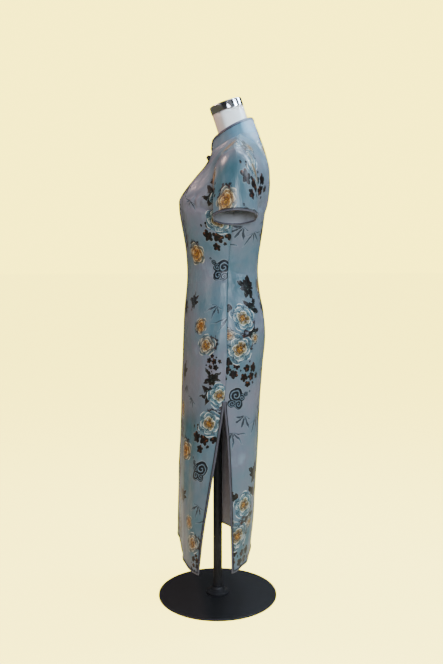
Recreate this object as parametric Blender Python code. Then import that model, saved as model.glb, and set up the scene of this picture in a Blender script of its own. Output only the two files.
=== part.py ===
"""A full-length cheongsam with short sleeves, worn by a limbless dress form on a pole stand.

Frame: metres, +Z up. The origin is the centre of the stand's base plate, on the floor.
+X is the wearer's left, -Y the wearer's front. All tables are in millimetres.
"""

import math
from collections import namedtuple

import bmesh
import bpy
import numpy as np
from mathutils import Vector

MM = 0.001

# Cloth
WALL = 1.5 * MM               # satin with its lining
SEAM = 0.5 * MM               # gap between two pieces at a seam
LIFT = 0.9 * MM               # from a panel's face to what is sewn on it
TRIM_THICK = 1.0 * MM         # bindings and pipings
BINDING = (0.2 * MM, 4.4 * MM)    # grey edge binding, from the edge inwards
PIPING = (5.4 * MM, 8.0 * MM)     # dark piping beside it
NECK_STATION = 0.4            # share of a half panel between its centre line and the neck point
# Facets: where the columns of half a panel stand, and the rows. A narrow one carries each trim.
HALF_SHARES = (0, 0.1, 0.2, 0.3, 0.4, 0.52, 0.64, 0.76, 0.88, 0.96, 1)
BORDER = 9                    # height of the narrow row beside a trimmed edge
SKIRT_ROWS = (150, 159, 198, 240, 320, 390, 450, 510, 570, 630, 700, 770, 830, 890, 950, 1010,
              1065, 1110, 1150)
YOKE_ROWS = (1175, 1200, 1225, 1250, 1278, 1306, 1334, 1361, 1370)
LEVEL_ROWS = 950              # below this all rows are level; above, the right front's rise

# Dress form and stand
FORM_CLEAR = 10.5 * MM        # from the cloth's outer face to the form
SHOULDER_CLEAR = 4.5 * MM     # the same at the shoulders, which the dress hangs from
FORM_BOTTOM = 0.725
FORM_TOP_LEVEL = 1326         # the form's shoulders end this far up the yoke
NECK_RADIUS = 0.0475
NECK_LEAN = math.radians(19)  # forwards
NECK_TOP = Vector((0, 0.0300, 1.4500))
NECK_LOOPS = ((0.084, 1.06), (0.062, 1.0), (0.035, 1.0), (0.0, 1.0))   # drop, share of the radius
UNDERSIDE_LOOPS = ((0.60, 0.97), (0.95, 0.86), (1, 0.2))   # share of the drop, share of the width
CAP_HEIGHT = 0.0225
CAP_EDGE = 0.002
POLE_RADIUS = 0.0135
FLANGE_RADIUS = 0.034
FLANGE_RIM = 0.006            # thickness of its edge, and width of the collar round the pole
FLANGE_HEIGHT = 0.020
BASE_RADIUS = 0.180
BASE_THICK = 0.006
BASE_EDGE = 0.002             # its upper bevel; the lower one is half as wide

# Horizontal sections of the dress from hem to underarm. The edge columns give how far
# forward or back a panel's side edge stands on the wearer's left and right: below the slits'
# top, at 630, the front and back panels part there. Cups is how far each cup stands out before
# the front, and round says how full a half section is: 2 is an ellipse, more is squarer.
Section = namedtuple("Section", "height half_width front cups back round_front round_back "
                     "front_left front_right back_left back_right")
SECTIONS = [
    Section(150, 203, -110, 0, 100, 2.6, 1.4, -80, -107, 15, 40),
    Section(270, 199, -110, 0, 107, 2.5, 1.8, -64, -87, 12, 34),
    Section(400, 194, -110, 0, 112, 2.4, 2.1, -42, -61, 9, 28),
    Section(520, 187, -109, 0, 118, 2.3, 2.2, -21, -32, 4, 15),
    Section(630, 180, -107, 0, 124, 2.3, 2.2, -4, -4, -4, -4),
    Section(720, 178, -103, 0, 131, 2.3, 2.2, 1, 1, 1, 1),
    Section(800, 177, -100, 0, 138, 2.3, 2.2, 4, 4, 4, 4),
    Section(870, 167, -96, 0, 133, 2.3, 2.2, 6, 6, 6, 6),
    Section(930, 151, -91, 0, 122, 2.3, 2.2, 8, 8, 8, 8),
    Section(990, 138, -89, 1, 117, 2.3, 2.2, 11, 11, 11, 11),
    Section(1050, 143, -91, 5, 120, 2.4, 2.4, 16, 16, 16, 16),
    Section(1110, 154, -94, 10, 127, 2.7, 2.7, 21, 21, 21, 21),
    Section(1150, 158, -97, 13, 130, 2.9, 3.0, 24, 24, 24, 24),
]
CUPS_APART = 83               # from the centre line to the fullest point of the bust
CUPS_SPREAD = 38

# Rows of the yoke, from underarm to shoulder seam: the centre line, the line that runs up
# to the neck point, and the armhole edge. Corner is 1 where the row turns sharply at the
# neck point, as the neckline meets the shoulder seam.
Row = namedtuple("Row", "level centre_y centre_z neck_x neck_y neck_z arm_x arm_y arm_z corner")
FRONT_YOKE = [
    Row(1172, -97, 1173, 83, -104, 1172, 159, -4, 1157, 0),
    Row(1200, -93, 1202, 82, -103, 1200, 162, -26, 1182, 0),
    Row(1235, -72, 1240, 79, -76, 1242, 165, -34, 1222, 0),
    Row(1275, -38, 1276, 75, -36, 1288, 170, -31, 1264, 0.1),
    Row(1320, -24, 1308, 70, 3, 1334, 179, -11, 1300, 0.4),
    Row(1370, -17, 1334, 66, 56, 1375, 185, 21, 1319, 1),
]
BACK_YOKE = [
    Row(1172, 132, 1173, 83, 131, 1172, 159, 52, 1157, 0),
    Row(1200, 134, 1202, 82, 136, 1200, 162, 76, 1182, 0),
    Row(1235, 136, 1243, 79, 140, 1242, 165, 86, 1222, 0),
    Row(1275, 140, 1290, 75, 135, 1292, 169, 81, 1266, 0.1),
    Row(1320, 135, 1338, 70, 104, 1345, 178, 59, 1303, 0.4),
    Row(1370, 121, 1385, 66, 56, 1375, 185, 21, 1319, 1),
]
LEVELS = np.array([s.height for s in SECTIONS] + [r.level for r in FRONT_YOKE], float)
UNDERARM = SECTIONS[-1].height
SHOULDER = FRONT_YOKE[-1].level
SLIT_TOP = 630

# Soft vertical folds: where across the half panel, how wide, how deep, and from where to where
Fold = namedtuple("Fold", "face across width depth bottom top")
FOLDS = [
    Fold("front", 0.42, 0.16, 4.0, 150, 640),
    Fold("front", -0.55, 0.16, 3.5, 150, 600),
    Fold("back", 0.60, 0.15, 3.5, 150, 700),
    Fold("back", -0.48, 0.15, 4.0, 150, 640),
    Fold("front", 0.86, 0.10, 2.5, 640, 840),
    Fold("back", 0.84, 0.10, 2.5, 620, 860),
    Fold("front", -0.86, 0.10, 2.5, 640, 840),
    Fold("back", -0.84, 0.10, 2.5, 620, 860),
]

# Sleeve
CUFF_CENTRE = Vector((0.2100, 0.0215, 1.1335))
CUFF_ACROSS = Vector((0.0450, 0, 0.0175))   # from the cuff's centre to its outer edge
CUFF_ALONG = 0.0600                         # from its centre to its front or back edge
SLEEVE_ROWS = 6

# Collar: its top edge over the neckline, at the centre front, the side and the centre back
COLLAR_FRONT = Vector((0, -0.0150, 1.3650))
COLLAR_SIDE = Vector((0.0600, 0.0450, 1.4065))
COLLAR_BACK = Vector((0, 0.1030, 1.4250))
COLLAR_CORNER = 0.020         # radius of its rounded front corners
COLLAR_REACH = 0.975          # share of the neckline that it covers, each way from the back
COLLAR_GAP = 1.3 * MM
COLLAR_COLUMNS = 28
COLLAR_ROWS = 3

# Diagonal opening, from the throat to the right underarm
OPENING_START = 0.05          # share of the half panel where it leaves the neckline
OPENING_END = 1112            # level where it meets the side seam
YOKE_START = 0.075
FROG_PLACES = (0.21, 0.62, 0.84)
FROG_HALF_LENGTH = 0.022
FROG_CORD = 3.0 * MM          # half the width of its doubled cord
FROG_STATIONS = 13
FROG_SIDES = 8


def through(levels, values, at):
    """Return the smooth curve through values at levels, read at one level.

    It starts afresh at the slits' top and the underarm, so that the side seam is one line.
    """
    i = int(np.clip(np.searchsorted(levels, at) - 1, 0, len(levels) - 2))
    low = i if levels[i] == SLIT_TOP else max(i - 1, 0)
    high = i + 1 if levels[i + 1] == UNDERARM else min(i + 2, len(levels) - 1)
    span = levels[i + 1] - levels[i]
    slope_0 = (values[i + 1] - values[low]) / (levels[i + 1] - levels[low]) * span
    slope_1 = (values[high] - values[i]) / (levels[high] - levels[i]) * span
    t = (at - levels[i]) / span
    return ((2 * t**3 - 3 * t**2 + 1) * values[i] + (t**3 - 2 * t**2 + t) * slope_0
            + (3 * t**2 - 2 * t**3) * values[i + 1] + (t**3 - t**2) * slope_1)


def smooth_step(x):
    x = min(max(x, 0), 1)
    return x * x * (3 - 2 * x)


def evenly(curve, count):
    """Resample a polyline at count points an equal distance apart."""
    steps = np.linalg.norm(np.diff(curve, axis=0), axis=1)
    run = np.concatenate([[0], np.cumsum(steps)])
    at = np.linspace(0, run[-1], count)
    return np.stack([np.interp(at, run, curve[:, k]) for k in range(3)], axis=1)


def bend(start, end, leave, arrive, count=25):
    """Return a cubic curve between two points that leaves and arrives along two vectors."""
    t = np.linspace(0, 1, count)[:, None]
    return ((2 * t**3 - 3 * t**2 + 1) * start + (t**3 - 2 * t**2 + t) * leave
            + (3 * t**2 - 2 * t**3) * end + (t**3 - t**2) * arrive)


def section_row(section, face, left, stations):
    """Return a half section from the centre line to the side edge, as a squared ellipse."""
    deep, power, edge = {
        "front": (section.front, section.round_front,
                  section.front_left if left else section.front_right),
        "back": (section.back, section.round_back,
                 section.back_left if left else section.back_right)}[face]
    angle = np.linspace(0, math.pi / 2, 181)
    x = section.half_width * np.sin(angle) ** (2 / power)
    flat = smooth_step((SLIT_TOP - section.height) / 330) if face == "front" else 0
    bulge = np.maximum(np.cos(angle), 0) ** (2 / power)
    bulge = bulge * (1 - flat) + (1 - np.sin(angle) ** 4) * flat
    y = edge + (deep - edge) * bulge
    if face == "front":
        y -= section.cups * np.exp(-(((x - CUPS_APART) / CUPS_SPREAD) ** 2)) * bulge
    return evenly(np.stack([x, y, np.full_like(x, section.height)], axis=1), stations)


def yoke_row(row, stations):
    """Return a half row of the yoke from the centre line by the neck line to the armhole."""
    centre = np.array([0, row.centre_y, row.centre_z], float)
    neck = np.array([row.neck_x, row.neck_y, row.neck_z], float)
    arm = np.array([row.arm_x, row.arm_y, row.arm_z], float)
    climb = (row.level - UNDERARM) / (SHOULDER - UNDERARM)
    flow = (arm - centre) * np.array([0.5, 0.25 + 0.25 * climb, 0.5])
    forward = row.centre_y < row.neck_y
    round_neck = np.array([0, 110 if forward else -110, 55 if forward else -25], float)
    into_neck = flow * (1 - row.corner) + round_neck * row.corner
    out_of_neck = flow * (1 - row.corner) + (arm - neck) * row.corner
    into_arm = (arm - neck) * np.array([0.1 + 0.9 * climb, 1.4 - 0.4 * climb, 1])
    neck_count = round((stations - 1) * NECK_STATION) + 1
    inner = evenly(bend(centre, neck, np.array([neck[0] * 1.5, 0, 0]), into_neck), neck_count)
    outer = evenly(bend(neck, arm, out_of_neck, into_arm), stations - neck_count + 1)
    return np.concatenate([inner, outer[1:]])


def build_net(face, left, stations=41):
    """Return the rows of points that a half panel's surface runs through."""
    yoke = FRONT_YOKE if face == "front" else BACK_YOKE
    rows = [section_row(s, face, left, stations) for s in SECTIONS]
    rows += [yoke_row(r, stations) for r in yoke]
    net = np.array(rows) * MM
    if not left:
        net[:, :, 0] *= -1
    return net


NETS = {(face, left): build_net(face, left) for face in ("front", "back") for left in (True, False)}


def plain_point(face, u, level):
    """Return a point of a panel without folds: u runs -1 to 1 from right edge to left edge."""
    net = NETS[face, u >= 0]
    place = min(abs(u), 1) * (net.shape[1] - 1)
    i = min(int(place), net.shape[1] - 2)
    column = net[:, i] * (1 - (place - i)) + net[:, i + 1] * (place - i)
    return through(LEVELS, column, level)


def outward(face, u, level, point=plain_point):
    """Return the unit normal of a panel's outer face."""
    lowest, highest = (LEVELS[0], UNDERARM) if level <= UNDERARM else (UNDERARM, SHOULDER)
    across = point(face, min(u + 0.01, 1), level) - point(face, max(u - 0.01, -1), level)
    up = point(face, u, min(level + 3, highest)) - point(face, u, max(level - 3, lowest))
    normal = np.cross(across, up)
    normal = normal if face == "front" else -normal
    return normal / np.linalg.norm(normal)


def cloth_point(face, u, level):
    """Return a point of a panel with its soft folds."""
    rise = 0.0
    for fold in FOLDS:
        reach = abs(u - fold.across) / fold.width
        if fold.face != face or reach >= 1:
            continue
        ends = smooth_step((fold.top - level) / 160)
        if fold.bottom > 150:
            ends *= smooth_step((level - fold.bottom) / 90)
        rise += fold.depth * MM * ends * (0.5 + 0.5 * math.cos(math.pi * reach))
    point = plain_point(face, u, level)
    return point + rise * outward(face, u, level) if rise else point


def opening_level(share):
    """Return the level of the diagonal opening at a share of the right half panel."""
    t = (share - OPENING_START) / (1 - OPENING_START)
    if t <= 0:
        return float(SHOULDER)
    drop = 0.45 * t + 0.55 * math.sin(t * math.pi / 2) ** 1.15
    return SHOULDER - (SHOULDER - OPENING_END) * drop


def drawn_in(grid, amount, sides):
    """Draw the named sides of a grid of points in by an amount, to leave a seam's gap."""
    drawn = grid.copy()
    for side, edge, inner in (("bottom", np.s_[0], np.s_[1]), ("top", np.s_[-1], np.s_[-2]),
                              ("right", np.s_[:, 0], np.s_[:, 1]),
                              ("left", np.s_[:, -1], np.s_[:, -2])):
        if side in sides:
            along = np.gradient(grid[edge], axis=0)
            along /= np.linalg.norm(along, axis=-1, keepdims=True)
            way = grid[inner] - grid[edge]
            way -= along * np.sum(way * along, axis=-1, keepdims=True)
            drawn[edge] += amount * way / np.linalg.norm(way, axis=-1, keepdims=True)
    return drawn


def shell_triangles(rows, columns, ring=False):
    """Return the triangles of a closed wall over a grid, its outer points before its inner."""
    step = rows * columns
    span = columns if ring else columns - 1

    def at(i, j, inner=0):
        return i * columns + j % columns + inner * step

    faces = []
    for i in range(rows - 1):
        for j in range(span):
            a, b, c, d = (i, j), (i, j + 1), (i + 1, j + 1), (i + 1, j)
            faces += [(at(*a), at(*b), at(*c)), (at(*a), at(*c), at(*d))]
            faces += [(at(*c, 1), at(*b, 1), at(*a, 1)), (at(*d, 1), at(*c, 1), at(*a, 1))]
    rims = [((0, j + 1), (0, j)) for j in range(span)]
    rims += [((rows - 1, j), (rows - 1, j + 1)) for j in range(span)]
    if not ring:
        rims += [((i, 0), (i + 1, 0)) for i in range(rows - 1)]
        rims += [((i + 1, columns - 1), (i, columns - 1)) for i in range(rows - 1)]
    for a, b in rims:
        faces += [(at(*a), at(*b), at(*b, 1)), (at(*a), at(*b, 1), at(*a, 1))]
    return faces


def make_object(name, points, faces, finish, smooth=True):
    """Make a named object from points and faces, its normals pointing out."""
    mesh = bpy.data.meshes.new(name)
    mesh.from_pydata([tuple(p) for p in points], [], faces)
    work = bmesh.new()
    work.from_mesh(mesh)
    bmesh.ops.remove_doubles(work, verts=work.verts, dist=1e-6)
    bmesh.ops.recalc_face_normals(work, faces=work.faces)
    if work.calc_volume(signed=True) < 0:
        bmesh.ops.reverse_faces(work, faces=work.faces)
    work.to_mesh(mesh)
    work.free()
    mesh.materials.append(finish)
    if smooth:
        mesh.shade_smooth()
        mesh.set_sharp_from_angle(angle=math.radians(40))
    thing = bpy.data.objects.new(name, mesh)
    bpy.context.collection.objects.link(thing)
    return thing


def make_shell(name, outer, normals, finish, ring=False):
    """Make a cloth wall from its outer face's grid of points and their normals."""
    rows, columns = outer.shape[:2]
    points = np.concatenate([outer.reshape(-1, 3), (outer - WALL * normals).reshape(-1, 3)])
    return make_object(name, points, shell_triangles(rows, columns, ring), finish)


def make_strip(name, outer, normals, path, reach, finish, closed=False):
    """Make a strip of trim on a grid of points, along a path of (row, column, way in)."""
    rows, columns = outer.shape[:2]

    def inwards(i, j, di, dj, distance):
        point = outer[i, j].copy()
        for step_i, step_j in ((di, 0), (0, dj)):
            if step_i or step_j:
                way = outer[i + step_i, (j + step_j) % columns] - outer[i, j]
                point += distance * way / np.linalg.norm(way)
        return point

    profile = [(reach[0], LIFT), (reach[1], LIFT), (reach[1], LIFT + TRIM_THICK),
               (reach[0], LIFT + TRIM_THICK)]
    points = [inwards(i, j, di, dj, along) + height * normals[i, j]
              for i, j, di, dj in path for along, height in profile]
    count = len(path)
    faces = []
    for k in range(count if closed else count - 1):
        here, there = 4 * k, 4 * ((k + 1) % count)
        for c in range(4):
            a, b = here + c, here + (c + 1) % 4
            d, e = there + c, there + (c + 1) % 4
            faces += [(a, b, e), (a, e, d)]
    if not closed:
        faces += [(0, 1, 2), (0, 2, 3), (4 * count - 4, 4 * count - 2, 4 * count - 3),
                  (4 * count - 4, 4 * count - 1, 4 * count - 2)]
    return make_object(name, points, faces, finish, smooth=False)


def make_trim(name, outer, normals, path, closed=False):
    """Make the grey binding at an edge and the dark piping beside it."""
    make_strip(name + "_binding", outer, normals, path, BINDING, SATIN_GREY, closed)
    make_strip(name + "_piping", outer, normals, path, PIPING, SATIN_BLACK, closed)


def panel_grid(face, shares, levels_of):
    """Return the points and normals of a panel over its columns and each column's levels."""
    columns = [levels_of(u) for u in shares]
    places = [[(u, column[k]) for u, column in zip(shares, columns)] for k in range(len(columns[0]))]
    outer = [[cloth_point(face, *place) for place in row] for row in places]
    normals = [[outward(face, *place, cloth_point) for place in row] for row in places]
    return np.array(outer), np.array(normals)


def mitred(face, normals, shares, top_row=-1):
    """Turn a shoulder seam's normals to the mean of the two panels that meet there."""
    other = "back" if face == "front" else "front"
    turned = normals.copy()
    for j, u in enumerate(shares):
        if abs(u) >= NECK_STATION - 1e-6:
            both = normals[top_row, j] + outward(other, u, SHOULDER, cloth_point)
            turned[top_row, j] = both / np.linalg.norm(both)
    return turned


def both_halves():
    """Return the places of a whole panel's columns, from its right edge to its left."""
    return np.array([-share for share in reversed(HALF_SHARES[1:])] + list(HALF_SHARES))


def edge_path(rows, columns, slit_rows):
    """Return the path down a panel's right slit, along its hem and up its left slit."""
    last = columns - 1
    path = [(i, 0, 0, 1) for i in range(slit_rows, 0, -1)]
    path += [(0, 0, 1, 1)]
    path += [(0, j, 1, 0) for j in range(1, last)]
    path += [(0, last, 1, -1)]
    path += [(i, last, 0, -1) for i in range(1, slit_rows + 1)]
    return path


def make_front():
    """Make the large front panel, which ends at the diagonal opening on the right."""
    shares = both_halves()
    middle = len(shares) // 2

    def levels(u):
        top = opening_level(-u) if u < 0 else SHOULDER
        grow = (top - BORDER - LEVEL_ROWS) / (YOKE_ROWS[-2] - LEVEL_ROWS)
        rows = [h if h < LEVEL_ROWS else LEVEL_ROWS + (h - LEVEL_ROWS) * grow
                for h in SKIRT_ROWS + YOKE_ROWS[:-1]]
        return rows + [top]

    outer, normals = panel_grid("front", shares, levels)
    normals[:, middle + 1:] = mitred("front", normals[:, middle + 1:], shares[middle + 1:])
    outer = drawn_in(outer, SEAM / 2, ("top", "right", "left"))
    make_shell("front_panel", outer, normals, SATIN_PRINT)
    slit_rows = SKIRT_ROWS.index(SLIT_TOP)
    make_trim("front_hem", outer, normals, edge_path(len(outer), len(shares), slit_rows))
    top = len(outer) - 1
    make_trim("opening", outer, normals, [(top, j, -1, 0) for j in range(1, middle)])


def make_underlap():
    """Make the right front piece above the diagonal opening."""
    shares = np.array([-share for share in reversed(HALF_SHARES[1:])] + [-YOKE_START])

    def levels(u):
        grow = (SHOULDER - opening_level(-u)) / (SHOULDER - OPENING_END)
        return [SHOULDER - (SHOULDER - h) * grow
                for h in (OPENING_END, UNDERARM) + YOKE_ROWS]

    outer, normals = panel_grid("front", shares, levels)
    outer = drawn_in(outer, SEAM / 2, ("top",))
    outer = drawn_in(outer, SEAM, ("bottom", "right", "left"))
    make_shell("front_underlap", outer, mitred("front", normals, shares), SATIN_PRINT)


def make_back():
    """Make the back panel."""
    shares = both_halves()
    levels = SKIRT_ROWS + YOKE_ROWS
    outer, normals = panel_grid("back", shares, lambda u: levels)
    outer = drawn_in(outer, SEAM / 2, ("top", "right", "left"))
    make_shell("back_panel", outer, mitred("back", normals, shares), SATIN_PRINT)
    slit_rows = SKIRT_ROWS.index(SLIT_TOP)
    make_trim("back_hem", outer, normals, edge_path(len(outer), len(shares), slit_rows))


def armhole_point(turn):
    """Return a point of the left armhole: turn 0 is the underarm, 0.5 the shoulder, front first."""
    face, climb = ("front", turn * 2) if turn <= 0.5 else ("back", 2 - turn * 2)
    return plain_point(face, 1, UNDERARM + (SHOULDER - UNDERARM) * climb)


def sleeve_point(turn, along):
    """Return a point of the left sleeve: along runs from 0 at the armhole to 1 at the cuff."""
    start = armhole_point(turn)
    angle = 2 * math.pi * turn
    up = 0.5 - 0.5 * math.cos(angle)
    cuff = np.array(CUFF_CENTRE - CUFF_ACROSS * math.cos(angle))
    cuff[1] -= CUFF_ALONG * math.sin(angle)
    reach = np.linalg.norm(cuff - start)
    leave = np.array([1, 0, 0.05 - 0.75 * (1 - up)]) * reach * (0.85 + 0.35 * up)
    arrive = np.array([0.30 - 0.20 * up, 0, -1]) * reach * 0.9
    t = along
    return ((2 * t**3 - 3 * t**2 + 1) * start + (t**3 - 2 * t**2 + t) * leave
            + (3 * t**2 - 2 * t**3) * cuff + (t**3 - t**2) * arrive)


def make_sleeve(side):
    """Make a short set-in sleeve and its cuff's trim. Side is 1 for left, -1 for right."""
    name = "left" if side > 0 else "right"
    climbs = [(level - UNDERARM) / (SHOULDER - UNDERARM) / 2 for level in SKIRT_ROWS[-1:] + YOKE_ROWS]
    turns = climbs + [1 - climb for climb in reversed(climbs[1:-1])]
    outer = []
    for turn in turns:
        length = np.linalg.norm(sleeve_point(turn, 1) - sleeve_point(turn, 0))
        border = min(BORDER * MM / length, 0.3)
        alongs = list(np.linspace(0, 1 - border, SLEEVE_ROWS)) + [1]
        outer.append([sleeve_point(turn, along) for along in alongs])
    outer = np.array(outer).transpose(1, 0, 2)
    around = np.roll(outer, -1, axis=1) - np.roll(outer, 1, axis=1)
    normals = np.cross(np.gradient(outer, axis=0), around)
    normals /= np.linalg.norm(normals, axis=2, keepdims=True)
    outer = drawn_in(outer, SEAM, ("bottom",))
    mirror = np.array([side, 1, 1])
    make_shell("sleeve_" + name, outer * mirror, normals * mirror, SATIN_PRINT, ring=True)
    cuff = [(SLEEVE_ROWS, j, -1, 0) for j in range(len(turns))]
    make_trim("cuff_" + name, outer * mirror, normals * mirror, cuff, closed=True)


def neckline_point(around):
    """Return a point of the faceted neckline: around runs -1 to 1 from front by the left to front."""
    share = 1 - abs(around)
    face = "front" if share < 0.5 else "back"
    u = NECK_STATION * (2 * share if share < 0.5 else 2 - 2 * share)
    k = min(int(np.searchsorted(HALF_SHARES, u, side="right")) - 1, len(HALF_SHARES) - 2)
    low, high = HALF_SHARES[k], HALF_SHARES[k + 1]
    way = 1 if around < 0 else -1
    part = (u - low) / (high - low)
    return (plain_point(face, way * low, SHOULDER) * (1 - part)
            + plain_point(face, way * high, SHOULDER) * part)


def collar_top_point(around):
    """Return a point of the collar's top edge, over the same place of the neckline."""
    angle = (1 - abs(around)) * math.pi
    lean = 0.5 - 0.5 * math.cos(angle)
    middle = (COLLAR_FRONT + COLLAR_BACK) / 2
    bulge = COLLAR_SIDE.z - middle.z
    y = COLLAR_FRONT.y + (COLLAR_BACK.y - COLLAR_FRONT.y) * lean
    z = COLLAR_FRONT.z + (COLLAR_BACK.z - COLLAR_FRONT.z) * lean + bulge * math.sin(angle)
    x = COLLAR_SIDE.x * math.sin(angle)
    return np.array([x if around < 0 else -x, y, z])


def make_collar():
    """Make the stand collar, open at the centre front with rounded corners, and its trim."""
    last = COLLAR_COLUMNS
    arounds = [COLLAR_REACH * math.sin(math.pi / 2 * (2 * k / last - 1)) for k in range(last + 1)]
    foot = np.array([neckline_point(a) for a in arounds])
    head = np.array([collar_top_point(a) for a in arounds])
    run = np.concatenate([[0], np.cumsum(np.linalg.norm(np.diff(foot, axis=0), axis=1))])
    outer = []
    for j in range(last + 1):
        way = head[j] - foot[j]
        height = np.linalg.norm(way)
        end = min(run[j], run[-1] - run[j], COLLAR_CORNER)
        tall = height - COLLAR_CORNER + math.sqrt(COLLAR_CORNER**2 - (COLLAR_CORNER - end) ** 2)
        rises = list(np.linspace(COLLAR_GAP, tall - BORDER * MM, COLLAR_ROWS)) + [tall]
        outer.append([foot[j] + way * rise / height for rise in rises])
    outer = np.array(outer).transpose(1, 0, 2)
    normals = np.cross(np.gradient(outer, axis=1), np.gradient(outer, axis=0))
    normals /= np.linalg.norm(normals, axis=2, keepdims=True)
    make_shell("collar", outer, normals, SATIN_PRINT)
    path = [(i, 0, 0, 1) for i in range(COLLAR_ROWS)] + [(COLLAR_ROWS, 0, -1, 1)]
    path += [(COLLAR_ROWS, j, -1, 0) for j in range(1, last)]
    path += [(COLLAR_ROWS, last, -1, -1)]
    path += [(i, last, 0, -1) for i in range(COLLAR_ROWS - 1, -1, -1)]
    make_trim("collar", outer, normals, path)


def make_frog(name, share):
    """Make a knotted frog across the opening: two cord arms and the ball knot between them."""
    level = opening_level(share)
    middle = plain_point("front", -share, level)
    ahead = plain_point("front", -share - 0.04, opening_level(share + 0.04))
    behind = plain_point("front", -share + 0.04, opening_level(share - 0.04))
    along = (ahead - behind) / np.linalg.norm(ahead - behind)
    across = np.cross(outward("front", -share, level), along) * FROG_HALF_LENGTH
    by_share = (plain_point("front", -share + 0.01, level) - middle) / 0.01
    by_level = plain_point("front", -share, level + 1) - middle
    step = np.linalg.lstsq(np.stack([by_share, by_level], axis=1), across, rcond=None)[0]
    points = []
    for k in range(FROG_STATIONS):
        s = 2 * k / (FROG_STATIONS - 1) - 1
        place = (-share + step[0] * s, level + step[1] * s)
        normal = outward("front", *place)
        knot = math.exp(-((s / 0.16) ** 2))
        tip = math.sqrt(max(1 - s**8, 0.3))
        wide = (FROG_CORD + 1.6 * MM * knot) * tip
        tall = (FROG_CORD / 2 + 2.8 * MM * knot) * tip
        rise = LIFT + TRIM_THICK + 1.2 * MM + tall
        centre = plain_point("front", *place) + normal * rise
        for r in range(FROG_SIDES):
            angle = 2 * math.pi * r / FROG_SIDES
            points.append(centre + along * wide * math.cos(angle) + normal * tall * math.sin(angle))
    faces = [tuple(range(FROG_SIDES)), tuple(range(len(points) - FROG_SIDES, len(points)))]
    for k in range(FROG_STATIONS - 1):
        for r in range(FROG_SIDES):
            a, b = k * FROG_SIDES + r, k * FROG_SIDES + (r + 1) % FROG_SIDES
            faces += [(a, b, b + FROG_SIDES), (a, b + FROG_SIDES, a + FROG_SIDES)]
    make_object(name, points, faces, SATIN_BLACK)


def form_point(face, u, level):
    """Return a point of the form, under the cloth's."""
    share = smooth_step((level - 1230) / (FORM_TOP_LEVEL - 1230))
    clear = FORM_CLEAR + (SHOULDER_CLEAR - FORM_CLEAR) * share
    return plain_point(face, u, level) - clear * outward(face, u, level)


def make_form():
    """Make the limbless form: torso under the cloth, cut off at the arms, and leaning neck."""
    shares = both_halves()
    last = len(shares) - 1
    low = [h for h in SKIRT_ROWS if h * MM > FORM_BOTTOM + 0.03]
    levels = low + [h for h in YOKE_ROWS if h < FORM_TOP_LEVEL] + [FORM_TOP_LEVEL]
    arm_start = len(low) - 1
    count = len(levels) * len(shares)
    front = np.arange(count).reshape(len(levels), len(shares))
    back = front + count
    points = [form_point(face, u, level) for face in ("front", "back")
              for level in levels for u in shares]
    faces = []
    for grid in (front, back):
        for i in range(len(levels) - 1):
            for j in range(last):
                faces += [(grid[i, j], grid[i, j + 1], grid[i + 1, j + 1]),
                          (grid[i, j], grid[i + 1, j + 1], grid[i + 1, j])]
    for j in (0, last):
        for i in range(arm_start + 1):
            points[back[i, j]] = points[front[i, j]]
        faces.append((front[arm_start, j], back[arm_start + 1, j], front[arm_start + 1, j]))
        for i in range(arm_start + 1, len(levels) - 1):
            faces += [(front[i, j], back[i, j], back[i + 1, j]),
                      (front[i, j], back[i + 1, j], front[i + 1, j])]
    inner = [j for j, u in enumerate(shares) if abs(u) <= NECK_STATION + 1e-6]
    for j in list(range(inner[0])) + list(range(inner[-1], last)):
        faces += [(front[-1, j], front[-1, j + 1], back[-1, j + 1]),
                  (front[-1, j], back[-1, j + 1], back[-1, j])]
    make_neck(points, faces, [front[-1, j] for j in inner] + [back[-1, j] for j in inner[::-1]])
    make_underside(points, faces, list(front[0]) + list(back[0, -2:0:-1]))
    make_object("form_body", points, faces, FORM_WHITE)


def make_neck(points, faces, rim):
    """Carry the form's neck up from a rim of points to its tilted top, and close it."""
    tilt = np.array([0, -math.sin(NECK_LEAN), math.cos(NECK_LEAN)])
    flat = np.array([0, math.cos(NECK_LEAN), math.sin(NECK_LEAN)])
    top = np.array(NECK_TOP)
    middle = np.mean([points[p] for p in rim], axis=0)
    loops = [rim]
    for drop, spread in NECK_LOOPS:
        centre = top - tilt * drop
        loop = []
        for p in rim:
            way = points[p] - middle
            angle = math.atan2(way[1], way[0])
            loop.append(len(points))
            points.append(centre + NECK_RADIUS * spread
                          * (np.array([math.cos(angle), 0, 0]) + flat * math.sin(angle)))
        loops.append(loop)
    for low, high in zip(loops, loops[1:]):
        for k in range(len(rim)):
            n = (k + 1) % len(rim)
            faces += [(low[k], low[n], high[n]), (low[k], high[n], high[k])]
    faces.append(tuple(loops[-1]))


def make_underside(points, faces, rim):
    """Close the form below with a rounded flat underside."""
    middle = np.mean([points[p] for p in rim], axis=0)
    start = middle[2] - FORM_BOTTOM
    loops = [rim]
    for drop, share in UNDERSIDE_LOOPS:
        loop = []
        for p in rim:
            x, y, z = middle + (points[p] - middle) * share
            loop.append(len(points))
            points.append(np.array([x, y, z - drop * start]))
        loops.append(loop)
    for high, low in zip(loops, loops[1:]):
        for k in range(len(rim)):
            n = (k + 1) % len(rim)
            faces += [(low[k], low[n], high[n]), (low[k], high[n], high[k])]
    faces.append(tuple(loops[-1]))


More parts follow.
